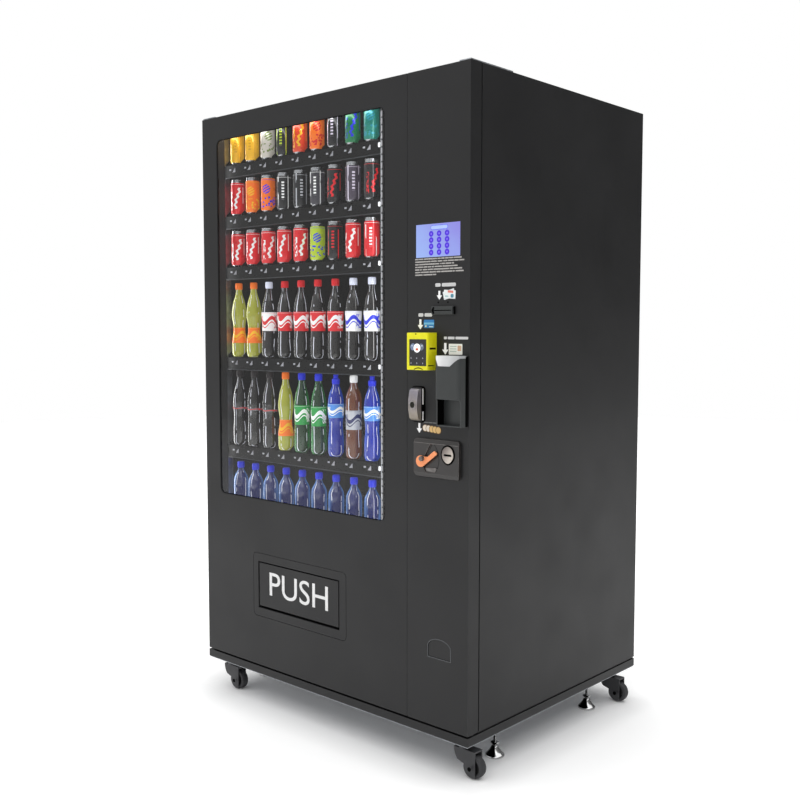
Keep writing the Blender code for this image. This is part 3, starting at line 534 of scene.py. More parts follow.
# Dark grey moulding of the card scanner and of the banknote bezel
SHELL = plain("scanner_shell", (50, 53, 53), (0.08, 14), (0.34, 0.44, 10), (1200, 0.00005),
              ((110, 113, 114), 0.0012, 0.4), Specular_IOR_Level=0.5)
# Zinc-grey cases behind the doors
CASE = plain("grey_case", (92, 95, 98), (0.1, 12), (0.4, 0.55, 12), (900, 0.00006),
             ((150, 152, 156), 0.001, 0.4), Specular_IOR_Level=0.4)
# Bright yellow moulding with a fine grain and rubbed edges
YELLOW = plain("yellow_plastic", (238, 232, 22), (0.05, 20), (0.32, 0.44, 14), (1300, 0.00005),
               ((250, 248, 130), 0.001, 0.35), Specular_IOR_Level=0.45)
# Glossy black touch glass with faint smears
GLASS_BLACK = plain("dark_glass", (24, 24, 30), (0.1, 30), (0.08, 0.2, 40), (14, 0.00005), Coat_Weight=0.6)
# Sticker film, backlit film and ribbed closures, in the colours that the mesh holds; the closures have a
# painted glow for the lamps round the stock
VINYL = plain("printed_vinyl", None, (0.04, 60), (0.45, 0.6, 50), (900, 0.00002), Specular_IOR_Level=0.3)
LIT = plain("lit_picture", None, (0.03, 40), (0.2, 0.35, 60), glow=0.75)
CAP = plain("bottle_cap", None, (0.05, 40), (0.3, 0.42, 40), (900, 0.00003), glow=STOCK_GLOW,
            Specular_IOR_Level=0.45)
# Bare drawn aluminium of a can's ends
CAN_METAL = plain("bright_can", (196, 198, 202), (0.06, 40), (0.22, 0.32, 50),
                  (700, 0.00003, 2, (1, 1, 0.1)), Metallic=0.95)
ZINC = galvanised()
CAST = cast_metal_painted_reflection()
SCOOP = silver_plastic_painted_shade()
COIN_METAL_PAINTED_SHADE = coin_metal_painted_shade()
DRINK = drink_with_painted_light()
CAN_PRINTS = [label_print(pattern, 0.3, 0.26) for pattern in (ribbon, marks, badge)]
FILM_PRINT = label_print(squiggle, 0.0, 0.34)


# ---- Shapes --------------------------------------------------------------------------------------


def arc(centre, radius, start, end, steps):
    """Points on an arc, in degrees, counter-clockwise when the end is greater than the start."""
    turns = [math.radians(start + (end - start) * i / steps) for i in range(steps + 1)]
    return [(centre[0] + radius * math.cos(t), centre[1] + radius * math.sin(t)) for t in turns]


def rounded(left, right, bottom, top, radius, steps=4):
    """Outline of a rectangle with rounded corners."""
    points = arc((right - radius, bottom + radius), radius, -90, 0, steps)
    points += arc((right - radius, top - radius), radius, 0, 90, steps)
    points += arc((left + radius, top - radius), radius, 90, 180, steps)
    points += arc((left + radius, bottom + radius), radius, 180, 270, steps)
    return points


def round_outline(x, z, radius, steps=20):
    """Outline of a disc."""
    return arc((x, z), radius, 0, 360 - 360 / steps, steps - 1)


def turned_by(points, centre, degrees):
    """An outline turned about a point."""
    c, s = math.cos(math.radians(degrees)), math.sin(math.radians(degrees))
    moved = [(a - centre[0], b - centre[1]) for a, b in points]
    return [(centre[0] + a * c - b * s, centre[1] + a * s + b * c) for a, b in moved]


def flowing(points, steps=4):
    """A smooth run through (radius, height) points."""
    ends = [points[0], *points, points[-1]]
    run = []
    for p0, p1, p2, p3 in zip(ends, ends[1:], ends[2:], ends[3:]):
        for i in range(steps):
            t = i / steps
            pull = [(-t + 2 * t * t - t**3) / 2, (2 - 5 * t * t + 3 * t**3) / 2]
            pull += [(t + 4 * t * t - 3 * t**3) / 2, (t**3 - t * t) / 2]
            run.append(tuple(sum(w * p[k] for w, p in zip(pull, (p0, p1, p2, p3))) for k in (0, 1)))
    return [*run, points[-1]]


class Shape:
    """A mesh made of lofts. Each face takes the slot and the colours that are set at the time."""

    def __init__(self):
        self.bm = bmesh.new()
        self.wrap = self.bm.loops.layers.uv.new("wrap")
        self.tints = self.bm.loops.layers.float_color.new("tint")
        self.accents = self.bm.loops.layers.float_color.new("accent")
        self.slot = 0
        self.tint = WHITE
        self.accent = WHITE

    def face(self, corners, wraps=None):
        """One face, with its place on the wrap-round print if it has one."""
        made = self.bm.faces.new(corners)
        made.material_index = self.slot
        for i, loop in enumerate(made.loops):
            loop[self.tints] = self.tint
            loop[self.accents] = self.accent
            if wraps:
                loop[self.wrap].uv = wraps[i]

    def loft(self, rings, closed=False):
        """A skin over rings of points, capped at both ends, or closed on itself."""
        made = [[self.bm.verts.new(point) for point in ring] for ring in rings]
        pairs = list(zip(made, made[1:]))
        if closed:
            pairs.append((made[-1], made[0]))
        count = len(made[0])
        heights = [ring[0][2] for ring in rings]
        rise = (max(heights) - min(heights)) or 1
        for level, (lower, upper) in enumerate(pairs):
            low = (heights[level] - min(heights)) / rise
            high = (heights[(level + 1) % len(rings)] - min(heights)) / rise
            for i in range(count):
                j = (i + 1) % count
                a, b = i / count, (i + 1) / count
                wraps = ((a, low), (b, low), (b, high), (a, high))
                self.face((lower[i], lower[j], upper[j], upper[i]), wraps)
        if not closed:
            self.face(made[0])
            self.face(made[-1])

    def prism(self, outline, y0, y1):
        """A plate whose (x, z) outline is seen from the front."""
        self.loft([[at(x, y, z) for x, z in outline] for y in (y0, y1)])

    def prism_x(self, outline, x0, x1):
        """A bar whose (y, z) outline is seen from the side."""
        self.loft([[at(x, y, z) for y, z in outline] for x in (x0, x1)])

    def prism_z(self, outline, z0, z1):
        """A plate whose (x, y) outline is seen from above."""
        self.loft([[at(x, y, z) for x, y in outline] for z in (z0, z1)])

    def rim(self, outer, inner, y0, y1):
        """A flat ring between two outlines that have as many points."""
        paths = ((outer, y1), (outer, y0), (inner, y0), (inner, y1))
        self.loft([[at(x, y, z) for x, z in points] for points, y in paths], closed=True)

    def turned(self, run, x, y, z, axis="Z", segments=28, closed=False, ribs=0.0):
        """A turned form from (radius, height) pairs. Ribs move every other line out and in."""
        rings = []
        for radius, height in run:
            ring = []
            for i in range(segments):
                turn = 2 * math.pi * i / segments - math.pi
                reach = max(radius, 0.00005) * (1 + ribs * (i % 2))
                a, b = reach * math.sin(turn), -reach * math.cos(turn)
                offset = {"Z": (a, -b, height), "Y": (a, height, b), "X": (height, a, b)}[axis]
                ring.append(at(x + offset[0], y + offset[1], z + offset[2]))
            rings.append(ring)
        self.loft(rings, closed)

    def tube(self, path, radius, sides=8):
        """A round bar along a path of (x, y, z) places."""
        points = [at(*place) for place in path]
        across = Vector((0.03, 0.02, 1)).normalized()
        rings = []
        last = len(points) - 1
        for i, point in enumerate(points):
            ahead = (points[min(i + 1, last)] - points[max(i - 1, 0)]).normalized()
            across = (across - ahead * across.dot(ahead)).normalized()
            side = ahead.cross(across)
            turns = [2 * math.pi * k / sides for k in range(sides)]
            rings.append([point + (across * math.cos(t) + side * math.sin(t)) * radius for t in turns])
        self.loft(rings)

    def screw(self, x, y, z, radius=0.003, axis="Y", out=-1):
        """A pan-head screw with a six-sided recess."""
        high = radius * 0.7 * out
        run = [(radius, 0), (radius, high * 0.4), (radius * 0.8, high * 0.9), (radius * 0.45, high)]
        run += [(radius * 0.42, high * 0.45), (0, high * 0.45)]
        self.turned(run, x, y, z, axis, 12)

    def finish(self, name, body, materials, slot, bevel=0.0, smooth=True):
        """Makes the object, which rides on a body."""
        bmesh.ops.recalc_face_normals(self.bm, faces=self.bm.faces)
        mesh = bpy.data.meshes.new(name)
        self.bm.to_mesh(mesh)
        self.bm.free()
        made = bpy.data.objects.new(name, mesh)
        bpy.context.collection.objects.link(made)
        for material in materials:
            mesh.materials.append(material)
        if smooth:
            mesh.shade_smooth()
            mesh.set_sharp_from_angle(angle=math.radians(38))
        if bevel:
            soften(made, bevel)
        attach(made, body)
        return made


def soften(piece, width):
    """Rounds a piece's edges without touching its mesh."""
    welded = piece.modifiers.new("welded", "WELD")
    welded.merge_threshold = 0.00001
    flat = piece.modifiers.new("flat", "DECIMATE")
    flat.decimate_type = "DISSOLVE"
    flat.angle_limit = math.radians(0.5)
    edge = piece.modifiers.new("edge", "BEVEL")
    edge.width = width
    edge.segments = 3
    edge.limit_method = "ANGLE"
    edge.angle_limit = math.radians(32)
    edge.use_clamp_overlap = True


# ---- CAD nodes -----------------------------------------------------------------------------------


def finish_cad_nodes():
    """Gives each CAD node that stays in view its material, and softens the edges of the ones that show them.
    """
    fork = plain("fork_coating", (66, 66, 68), (0.1, 30), (0.35, 0.5, 20), (800, 0.00004),
                 ((120, 120, 124), 0.0008, 0.4), Metallic=0.3)
    enamel = plain("compressor_enamel", (22, 22, 23), (0.15, 10), (0.25, 0.4, 12), (90, 0.0002),
                   Coat_Weight=0.4)
    fins = plain("aluminium_fins", (168, 170, 172), (0.12, 14), (0.35, 0.5, 30, (8, 8, 1)),
                 (900, 0.00005, 2, (1, 1, 0.05)), Metallic=0.9)
    # Key cylinder: worn metal, made darker as painted shade, since it sits deep in its ring
    lock_painted_shade = plain("lock_metal_painted_shade", (52, 52, 46), (0.25, 120), (0.3, 0.5, 60), (500, 0.00006), Metallic=0.8)
    # Lacquer of the coin panel: its pale edges are partly wear and partly a painted highlight along its
    # ridges
    coin_paint_wear_and_highlight = plain("coin_panel_paint_wear_and_highlight", (44, 41, 40), (0.12, 14), (0.30, 0.42, 14), (1100, 0.00004),
                       ((150, 142, 138), 0.0018, 0.75), Coat_Weight=0.2)
    lever = plain("lever_plastic", (255, 158, 104), (0.06, 40), (0.34, 0.46, 30), (1300, 0.00005),
                  ((255, 200, 164), 0.0014, 0.6), Specular_IOR_Level=0.45)
    finishes = (
        (COATING, 0.0010, "main_door_shell payment_door_shell left_side_panel right_side_panel"),
        (COATING, 0.0010, "top_panel back_panel base_plinth"),
        (COATING, 0.0005, "bin_surround delivery_flap coin_return_flap"),
        (INNER, 0.0006, "partition_wall compartment_floor tray_1 tray_2 tray_3 tray_4 tray_5 tray_6"),
        (PLASTIC, 0.0005, "delivery_bin coin_return_cup"),
        (PLASTIC, 0.0008, "condenser_fan"),
        (fork, 0.0006, " ".join(f"caster_fork_{ending}" for ending in ENDINGS)),
        (ZINC, 0.0004, "left_upright right_upright base_pan"),
        (ZINC, 0.0008, "top_left_hinge_plate top_right_hinge_plate"),
        (glowing("lamp_diffuser", (0.92, 0.96, 1.0, 1), 1.0), 0.0, "light_strip"),
        (enamel, 0.0, "compressor"),
        (fins, 0.0, "condenser"),
        (CASE, 0.0020, "power_box"),
        (window_pane(), 0.0, "window_glass"),
        (RUBBER, 0.0010, "door_gasket"),
        (GLASS_BLACK, 0.0008, "touch_screen"),
        (SHELL, 0.0008, "bill_validator"),
        (YELLOW, 0.0014, "card_reader_case"),
        (GLASS_BLACK, 0.0004, "card_reader_screen"),
        (SHELL, 0.0022, "id_reader"),
        (SCOOP, 0.0005, "id_reader_hood"),
        (CAST, 0.0008, "t_handle"),
        (lock_painted_shade, 0.0003, "key_cylinder"),
        (coin_paint_wear_and_highlight, 0.0008, "coin_acceptor"),
        (lever, 0.0012, "coin_return_lever"),
    )
    for material, width, names in finishes:
        for name in names.split():
            node = NODES[name]
            node.data.materials.clear()
            node.data.materials.append(material)
            if width:
                soften(node, width)


# ---- Trays ---------------------------------------------------------------------------------------


def spiral_path(axis, level, segments=26):
    """Wire of one lane, from its drive to its free end in front."""
    _, _, front, back, _, _ = span("spiral_1")
    centre = level + SPIRAL_RISE
    first, last = back - 0.020, front + WIRE_RADIUS * 0.7
    steps = round((first - last) / SPIRAL_PITCH * segments)
    path = [(axis, back, centre), (axis, first + 0.004, centre), (axis + 0.004, first, centre)]
    for i in range(steps + 1):
        turn = 2 * math.pi * i / segments
        y = first - (first - last) * i / steps
        x = axis + SPIRAL_RADIUS * math.cos(turn)
        path.append((x, y, centre + SPIRAL_RADIUS * math.sin(turn)))
    return path


def spirals():
    """The six driven CAD spirals as smooth wire, and the fixed ones of the other lanes."""
    for n, level in LEVELS.items():
        driven = Shape()
        driven.tube(spiral_path(SPIRAL_AXIS, level), WIRE_RADIUS)
        wire = driven.finish(f"spiral_{n}_wire", f"spiral_{n}", [WIRE], "chrome_steel")
        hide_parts(f"spiral_{n}")
        others = Shape()
        for axis in LANE_AXES:
            if abs(axis - SPIRAL_AXIS) > LANE_PITCH / 2:
                others.tube(spiral_path(axis, level), WIRE_RADIUS)
        others.finish(f"other_spirals_{n}", "cabinet", [WIRE], "chrome_steel")


def lane_dividers():
    """Thin walls between the lanes, and the drive hub of each spiral on the motor box."""
    back = span("spiral_1")[3] + 0.002
    for n, level in LEVELS.items():
        walls = Shape()
        for i in range(LANES + 1):
            x = SPIRAL_AXIS + LANE_PITCH * (i - LANES / 2)
            low = level + 0.0003
            side = [(RAIL_FRONT + 0.006, low), (back, low), (back, low + 0.030)]
            side += [(RAIL_FRONT + 0.030, low + 0.030), (RAIL_FRONT + 0.006, low + 0.010)]
            walls.prism_x(side, x - 0.0006, x + 0.0006)
        walls.finish(f"lane_dividers_{n}", "cabinet", [INNER], "black_interior", smooth=False)
        hubs = Shape()
        for axis in LANE_AXES:
            hub = [(0.004, -0.002), (0.015, -0.002), (0.017, 0.001), (0.017, 0.0036), (0.004, 0.0036)]
            hubs.turned(hub, axis, back - 0.002, level + SPIRAL_RISE, "Y", 20, closed=True)
        hubs.finish(f"drive_hubs_{n}", "cabinet", [PLASTIC], "inner_black_plastic")


def price_tags():
    """Under each product a white tag and a small bar icon, and along each rail's lower edge a pale lip whose
    grey is a painted highlight.
    """
    front = RAIL_FRONT
    # Grey of the rail's lower lip: a painted highlight on the black rail
    rail_highlight_lacquer = plain("rail_lip_painted_highlight", (58, 60, 64), (0.2, 8), (0.4, 0.55, 12), (900, 0.00003),
                    Specular_IOR_Level=0.3)
    left, right = span("tray_1")[:2]
    for n, level in LEVELS.items():
        tags = Shape()
        tags.tint = tone(190, 190, 198)
        for axis in LANE_AXES:
            z = level - 0.0125
            tag = rounded(axis - 0.014, axis - 0.005, z - 0.0026, z + 0.0026, 0.0012)
            tags.prism(tag, front - 0.0009, front - 0.0003)
            for k in range(4):
                x = axis + 0.003 + 0.0036 * k
                step = rounded(x, x + 0.0026, z - 0.009, z - 0.0065 + 0.0038 * k, 0.0006, 1)
                tags.prism(step, front - 0.0009, front - 0.0003)
        tags.tint = tone(235, 235, 240)
        catch = rounded(right - 0.013, right - 0.004, level - 0.019, level - 0.005, 0.003)
        tags.prism(catch, front - 0.0012, front - 0.0003)
        tags.finish(f"price_tags_{n}", "cabinet", [VINYL], "lamp_white")
        highlight_lip = Shape()
        low = level - RAIL_DROP
        lip = [(front - 0.0003, low), (front - 0.0022, low + 0.0008), (front - 0.0022, low + 0.0024)]
        lip += [(front - 0.0003, low + 0.0032)]
        highlight_lip.prism_x(lip, left + 0.002, right - 0.002)
        highlight_lip.finish(f"rail_highlight_lip_{n}", "cabinet", [rail_highlight_lacquer], "device_grey", smooth=False)


def light_strips():
    """A row of light-emitting chips on the front of each upright."""
    glow = glowing("strip_glow", tone(206, 207, 212), 0.26, tone(60, 60, 62))
    pitch, long = 0.021, 0.016
    for side in ("left", "right"):
        left, right, front, _, bottom, top = span(f"{side}_upright")
        x = (left + right) / 2
        half = min(0.0032, (right - left) / 2 - 0.0002)
        carrier = Shape()
        outline = rounded(x - half - 0.0001, x + half + 0.0001, bottom + 0.02, top - 0.01, 0.0005, 1)
        carrier.prism(outline, front - 0.0016, front - 0.0003)
        carrier.finish(f"{side}_strip_carrier", "cabinet", [INNER], "black_interior")
        chips = Shape()
        for i in range(int((top - bottom - 0.04) / pitch)):
            z = bottom + 0.024 + pitch * i
            outline = rounded(x - half * 0.9, x + half * 0.9, z, z + long, 0.0008, 2)
            chips.prism(outline, front - 0.0024, front - 0.0017)
        chips.finish(f"{side}_light_strip", "cabinet", [glow], "lamp_white")


# ---- Stock ---------------------------------------------------------------------------------------


def facing(shape, first_face, turn):
    """Turns the print of the newest faces about their axis, as a share of a full turn."""
    shape.bm.faces.ensure_lookup_table()
    for face in shape.bm.faces[first_face:]:
        for loop in face.loops:
            loop[shape.wrap].uv.x += turn


def can(shape, x, level, look, height=0.120):
    """A drawn can: printed wall, necked bright ends, a rim and a pull tab."""
    z = level + STOCK_RISE
    neck = height - 0.011
    wide = CAN_RADIUS
    first = len(shape.bm.faces)
    shape.slot, shape.tint, shape.accent = look
    wall = [(wide * 0.90, 0.0055), (wide, 0.0115), (wide, 0.040), (wide, neck - 0.004), (wide * 0.95, neck)]
    shape.turned(wall, x, STOCK_DEPTH, z, segments=32)
    facing(shape, first, DRAWS.uniform(-0.44, -0.32))
    shape.slot = len(CAN_PRINTS)
    foot = [(wide * 0.60, 0.0030), (wide * 0.70, 0), (wide * 0.76, 0), (wide * 0.90, 0.0054)]
    shape.turned(foot, x, STOCK_DEPTH, z)
    rim = [(wide * 0.945, neck + 0.0002), (wide * 0.88, height - 0.004), (wide * 0.905, height - 0.001)]
    rim += [(wide * 0.88, height), (wide * 0.84, height - 0.001), (wide * 0.80, height - 0.0045)]
    shape.turned(rim, x, STOCK_DEPTH, z)
    tab = rounded(x - 0.007, x + 0.007, STOCK_DEPTH - 0.014, STOCK_DEPTH + 0.008, 0.006, 5)
    shape.prism_z(tab, z + height - 0.0040, z + height - 0.0030)


def bottle(shape, x, level, height, drink, rim, cap, label, waist, shoulder=0.62, sport=False):
    """A filled bottle: lobed foot, waist, shoulder and neck, with a sleeve label and a ribbed cap.

    The label is (tint, accent, bottom, top). Its heights and the shoulder's are shares of the
    bottle's height.
    """
    radius = BOTTLE_RADIUS
    z = level + STOCK_RISE
    cap_foot = 0.895 if sport else 0.925
    tint, accent, low, high = label
    body = [(0.55, 0.002), (0.82, 0.004), (0.98, 0.045), (1.0, 0.10), (1.0, 0.22), (waist, 0.33)]
    body += [(waist, 0.42), (1.0, 0.54), (0.99, shoulder), (0.80, shoulder * 0.57 + 0.387)]
    body += [(0.50, shoulder * 0.21 + 0.71), (0.40, 0.90), (0.40, 0.94)]
    run = flowing([(radius * r, height * share) for r, share in body if share < cap_foot + 0.02])
    shape.slot, shape.tint, shape.accent = 0, drink, rim
    shape.turned(run, x, STOCK_DEPTH, z, segments=32)
    sleeve = [(r + 0.0004, h) for r, h in run if height * low < h < height * high]
    inner = [(r - 0.0006, h) for r, h in reversed(sleeve)]
    shape.slot, shape.tint, shape.accent = 1, tint, accent
    first = len(shape.bm.faces)
    shape.turned([*sleeve, *inner], x, STOCK_DEPTH, z, segments=32, closed=True)
    facing(shape, first, DRAWS.uniform(-0.46, -0.34))
    shape.slot, shape.tint = 2, cap
    wide = radius * 0.47
    foot = height * cap_foot
    collar = [(wide * 0.9, foot - 0.003), (wide, foot - 0.002), (wide, foot)]
    shape.turned(collar, x, STOCK_DEPTH, z, segments=24)
    top = [(wide, foot + 0.0004)]
    if sport:
        top += [(wide, height * 0.945), (wide * 0.62, height * 0.955), (wide * 0.55, height * 0.985)]
        top += [(wide * 0.7, height * 0.99), (wide * 0.6, height), (0, height)]
    else:
        top += [(wide, height * 0.985), (wide * 0.88, height), (0, height)]
    shape.turned(top, x, STOCK_DEPTH, z, segments=48, ribs=0.035)


def cans():
    """Three trays of cans, each lane with its own print: the pattern and its two colours."""
    dark = tone(16, 16, 20)
    lilac = tone(206, 198, 214)
    in_ribbon, in_marks, in_badge = range(3)
    plain_amber = (in_marks, AMBER, tone(206, 150, 20))
    orange_blue = (in_badge, ORANGE, BLUE)
    red = (in_ribbon, RED, WHITE)
    top = [plain_amber, plain_amber, (in_badge, tone(196, 190, 180), tone(110, 128, 60))]
    top += [(in_marks, dark, LIME), (in_ribbon, tone(206, 62, 24), AMBER), (in_badge, ORANGE, RED)]
    top += [(in_marks, dark, lilac), (in_ribbon, tone(14, 112, 66), BLUE), (in_badge, TEAL, AQUA)]
    second = [red, (in_badge, ORANGE, AMBER), orange_blue, (in_marks, dark, WHITE), (in_marks, dark, SILVER)]
    second += [(in_marks, tone(52, 50, 58), WHITE), (in_ribbon, dark, RED)]
    second += [(in_marks, tone(66, 58, 72), lilac), (in_ribbon, dark, RED)]
    third = [red] * 5 + [(in_badge, LIME, BLUE), (in_marks, dark, RED), red, (in_marks, RED, WHITE)]
    for n, looks in zip((1, 2, 3), (top, second, third)):
        stock = Shape()
        for axis, look in zip(LANE_AXES, looks):
            can(stock, axis, LEVELS[n], look)
        stock.finish(f"cans_{n}", "cabinet", [*CAN_PRINTS, CAN_METAL], "lamp_white")


def bottles():
    """Three trays of bottles: each lane's drink, its paler rim (painted reflection), cap, label, waist and
    kind of cap.
    """
    low, mid, high = (0.17, 0.40), (0.34, 0.60), (0.46, 0.66)
    dim = tone(24, 22, 24)
    label = (RED, WHITE, *mid)
    fizz = (DRINK_GREEN, tone(204, 206, 110), ORANGE, (ORANGE, AMBER, *low), 0.82)
    cola = (COLA, dim, RED, label, 0.93)
    pale = (COLA, dim, PALE, (WHITE, RED, *mid), 0.93)
    mixed = (COLA, dim, PALE, (WHITE, BLUE, *mid), 0.93)
    small = (COLA, dim, tone(30, 24, 26), (tone(96, 96, 100), RED, 0.45, 0.52), 0.93)
    lemon = (tone(4, 46, 16), GREEN, BLUE, (GREEN, WHITE, *mid), 0.95)
    sport = (tone(4, 30, 140), tone(24, 88, 206), BLUE, (SKY, WHITE, *high), 0.88, 0.68, True)
    tea = (BROWN, tone(122, 66, 28), WHITE, (SILVER, NAVY, *mid), 0.97, 0.72)
    water = (tone(16, 26, 90), tone(104, 158, 236), BLUE, (SKY, WHITE, 0.18, 0.34), 0.90, 0.74)
    trays = (
        (4, 0.249, (fizz, fizz, pale, cola, cola, cola, cola, mixed, mixed)),
        (5, 0.255, (small, small, small, fizz, lemon, lemon, sport, tea, sport)),
        (6, 0.243, (water,) * LANES),
    )
    for n, height, lanes in trays:
        stock = Shape()
        for axis, look in zip(LANE_AXES, lanes):
            bottle(stock, axis, LEVELS[n], height, *look)
        stock.finish(f"bottles_{n}", "cabinet", [DRINK, FILM_PRINT, CAP], "lamp_white")


# ---- Doors ---------------------------------------------------------------------------------------


def word(name, text, body, box, face):
    """Raised white letters that fill a box (left, right, bottom, top) in front of a face."""
    curve = bpy.data.curves.new(name, "FONT")
    curve.body = text
    curve.extrude = 0.5
    curve.resolution_u = 6
    source = bpy.data.objects.new(name, curve)
    bpy.context.collection.objects.link(source)
    bpy.context.view_layer.update()
    graph = bpy.context.evaluated_depsgraph_get()
    mesh = bpy.data.meshes.new_from_object(source.evaluated_get(graph))
    bpy.data.objects.remove(source)
    wide = [v.co.x for v in mesh.vertices]
    tall = [v.co.y for v in mesh.vertices]
    left, right, bottom, top = box
    for vertex in mesh.vertices:
        x = left + (right - left) * (vertex.co.x - min(wide)) / (max(wide) - min(wide))
        z = bottom + (top - bottom) * (vertex.co.y - min(tall)) / (max(tall) - min(tall))
        vertex.co = at(x, face - 0.0012 + 0.0010 * (0.5 - vertex.co.z), z)
    clean_letters(mesh)
    letters = bpy.data.objects.new(name, mesh)
    bpy.context.collection.objects.link(letters)
    mesh.materials.append(VINYL)
    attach(letters, body)


def clean_letters(mesh):
    """Closes the letters' seams, turns their faces out and paints them white."""
    bm = bmesh.new()
    bm.from_mesh(mesh)
    bmesh.ops.remove_doubles(bm, verts=bm.verts, dist=0.000005)
    bmesh.ops.recalc_face_normals(bm, faces=bm.faces)
    tints = bm.loops.layers.float_color.new("tint")
    for face in bm.faces:
        for loop in face.loops:
            loop[tints] = WHITE
    bm.to_mesh(mesh)
    bm.free()


def main_door_details():
    """Window seal and the word on the flap."""
    left, right, _, _, bottom, top = span("window_glass")
    seal = Shape()
    outer = rounded(left + 0.0078, right - 0.0078, bottom + 0.0078, top - 0.0078, 0.0195, 6)
    inner = rounded(left + 0.0108, right - 0.0108, bottom + 0.0108, top - 0.0108, 0.017, 6)
    seal.rim(outer, inner, 0.0010, 0.0032)
    seal.finish("window_seal", "main_door", [RUBBER], "rubber_black", bevel=0.0004)
    word("push_letters", "PUSH", "delivery_flap", PUSH_LETTERS, span("delivery_flap")[2])


def door_edge_seal():
    """Strip on the payment door's edge that fills the gap between the doors."""
    main_edge = span("main_door_shell")[1]
    left, _, _, _, bottom, top = span("payment_door_shell")
    strip = Shape()
    outline = [(main_edge + 0.0003, 0.0006), (left - 0.0003, 0.0006), (left - 0.0003, 0.006)]
    outline += [(main_edge + 0.0003, 0.006)]
    strip.prism_z(outline, bottom + 0.002, top - 0.002)
    strip.finish("door_edge_seal", "payment_door", [COATING], "black_coated_steel", bevel=0.0004)


def arrow(shape, x, bottom, top, half=0.010):
    """A sticker arrow that points down."""
    head = bottom + half * 1.25
    stem = half * 0.36
    outline = [(x, bottom), (x + half, head), (x + stem, head), (x + stem, top)]
    outline += [(x - stem, top), (x - stem, head), (x - half, head)]
    shape.prism(outline, -FLAT, -FLAT_BACK)


def bars(shape, left, right, bottom, top, gaps=(0.3, 0.7)):
    """Blank bars in place of a line of lettering, parted at the given shares of its length."""
    ends = [0.0, *gaps, 1.0]
    pause = (top - bottom) * 0.45
    for start, end in zip(ends, ends[1:]):
        x0 = left + (right - left) * start
        x1 = left + (right - left) * end - (pause if end < 1 else 0)
        radius = min((top - bottom) * 0.3, (x1 - x0) * 0.3)
        shape.prism(rounded(x0, x1, bottom, top, radius, 2), -FLAT, -FLAT_BACK)


def small_print():
    """Seven lines of blank bars under the display."""
    shape = Shape()
    shape.tint = tone(176, 173, 170)
    left, top, pitch = 0.953, 1.4325, 0.0071
    for line, share in enumerate((0.95, 1.0, 0.80, 0.87, 0.96, 0.99, 0.44)):
        gaps = sorted(DRAWS.uniform(0.05, 0.95) for _ in range(int(8 * share)))
        z = top - pitch * line
        bars(shape, left, left + 0.172 * share, z - 0.0047, z - 0.0012, gaps)
    shape.finish("instruction_lines", "payment_door", [VINYL], "lamp_white")


def stickers():
    """Arrows, blank label bars and plain pictures of a banknote, cards and coins."""
    shape = Shape()
    shape.tint = tone(206, 206, 206)
    bars(shape, 1.0255, 1.0970, 1.3535, 1.3630, (0.32,))
    bars(shape, 0.9650, 1.0145, 1.2735, 1.2830, (0.45,))
    bars(shape, 1.0565, 1.1395, 1.2125, 1.2195, (0.16, 0.48))
    shape.tint = tone(110, 110, 110)
    bars(shape, 0.9840, 1.0315, 0.9825, 0.9852, (0.4, 0.7))
    shape.tint = tone(255, 255, 255)
    arrow(shape, 1.0400, 1.3185, 1.3425, 0.0094)
    arrow(shape, 0.9723, 1.2385, 1.2665)
    arrow(shape, 1.0613, 1.1712, 1.2025, 0.0110)
    arrow(shape, 0.9690, 0.9535, 0.9805, 0.0098)
    pictures(shape)
    shape.finish("stickers", "payment_door", [VINYL], "lamp_white")


def layer(shape, outline, depth, tint):
    """One flat colour of a sticker. A higher depth lies in front."""
    shape.tint = tone(*tint)
    shape.prism(outline, -FLAT - 0.0001 * depth, -FLAT_BACK)


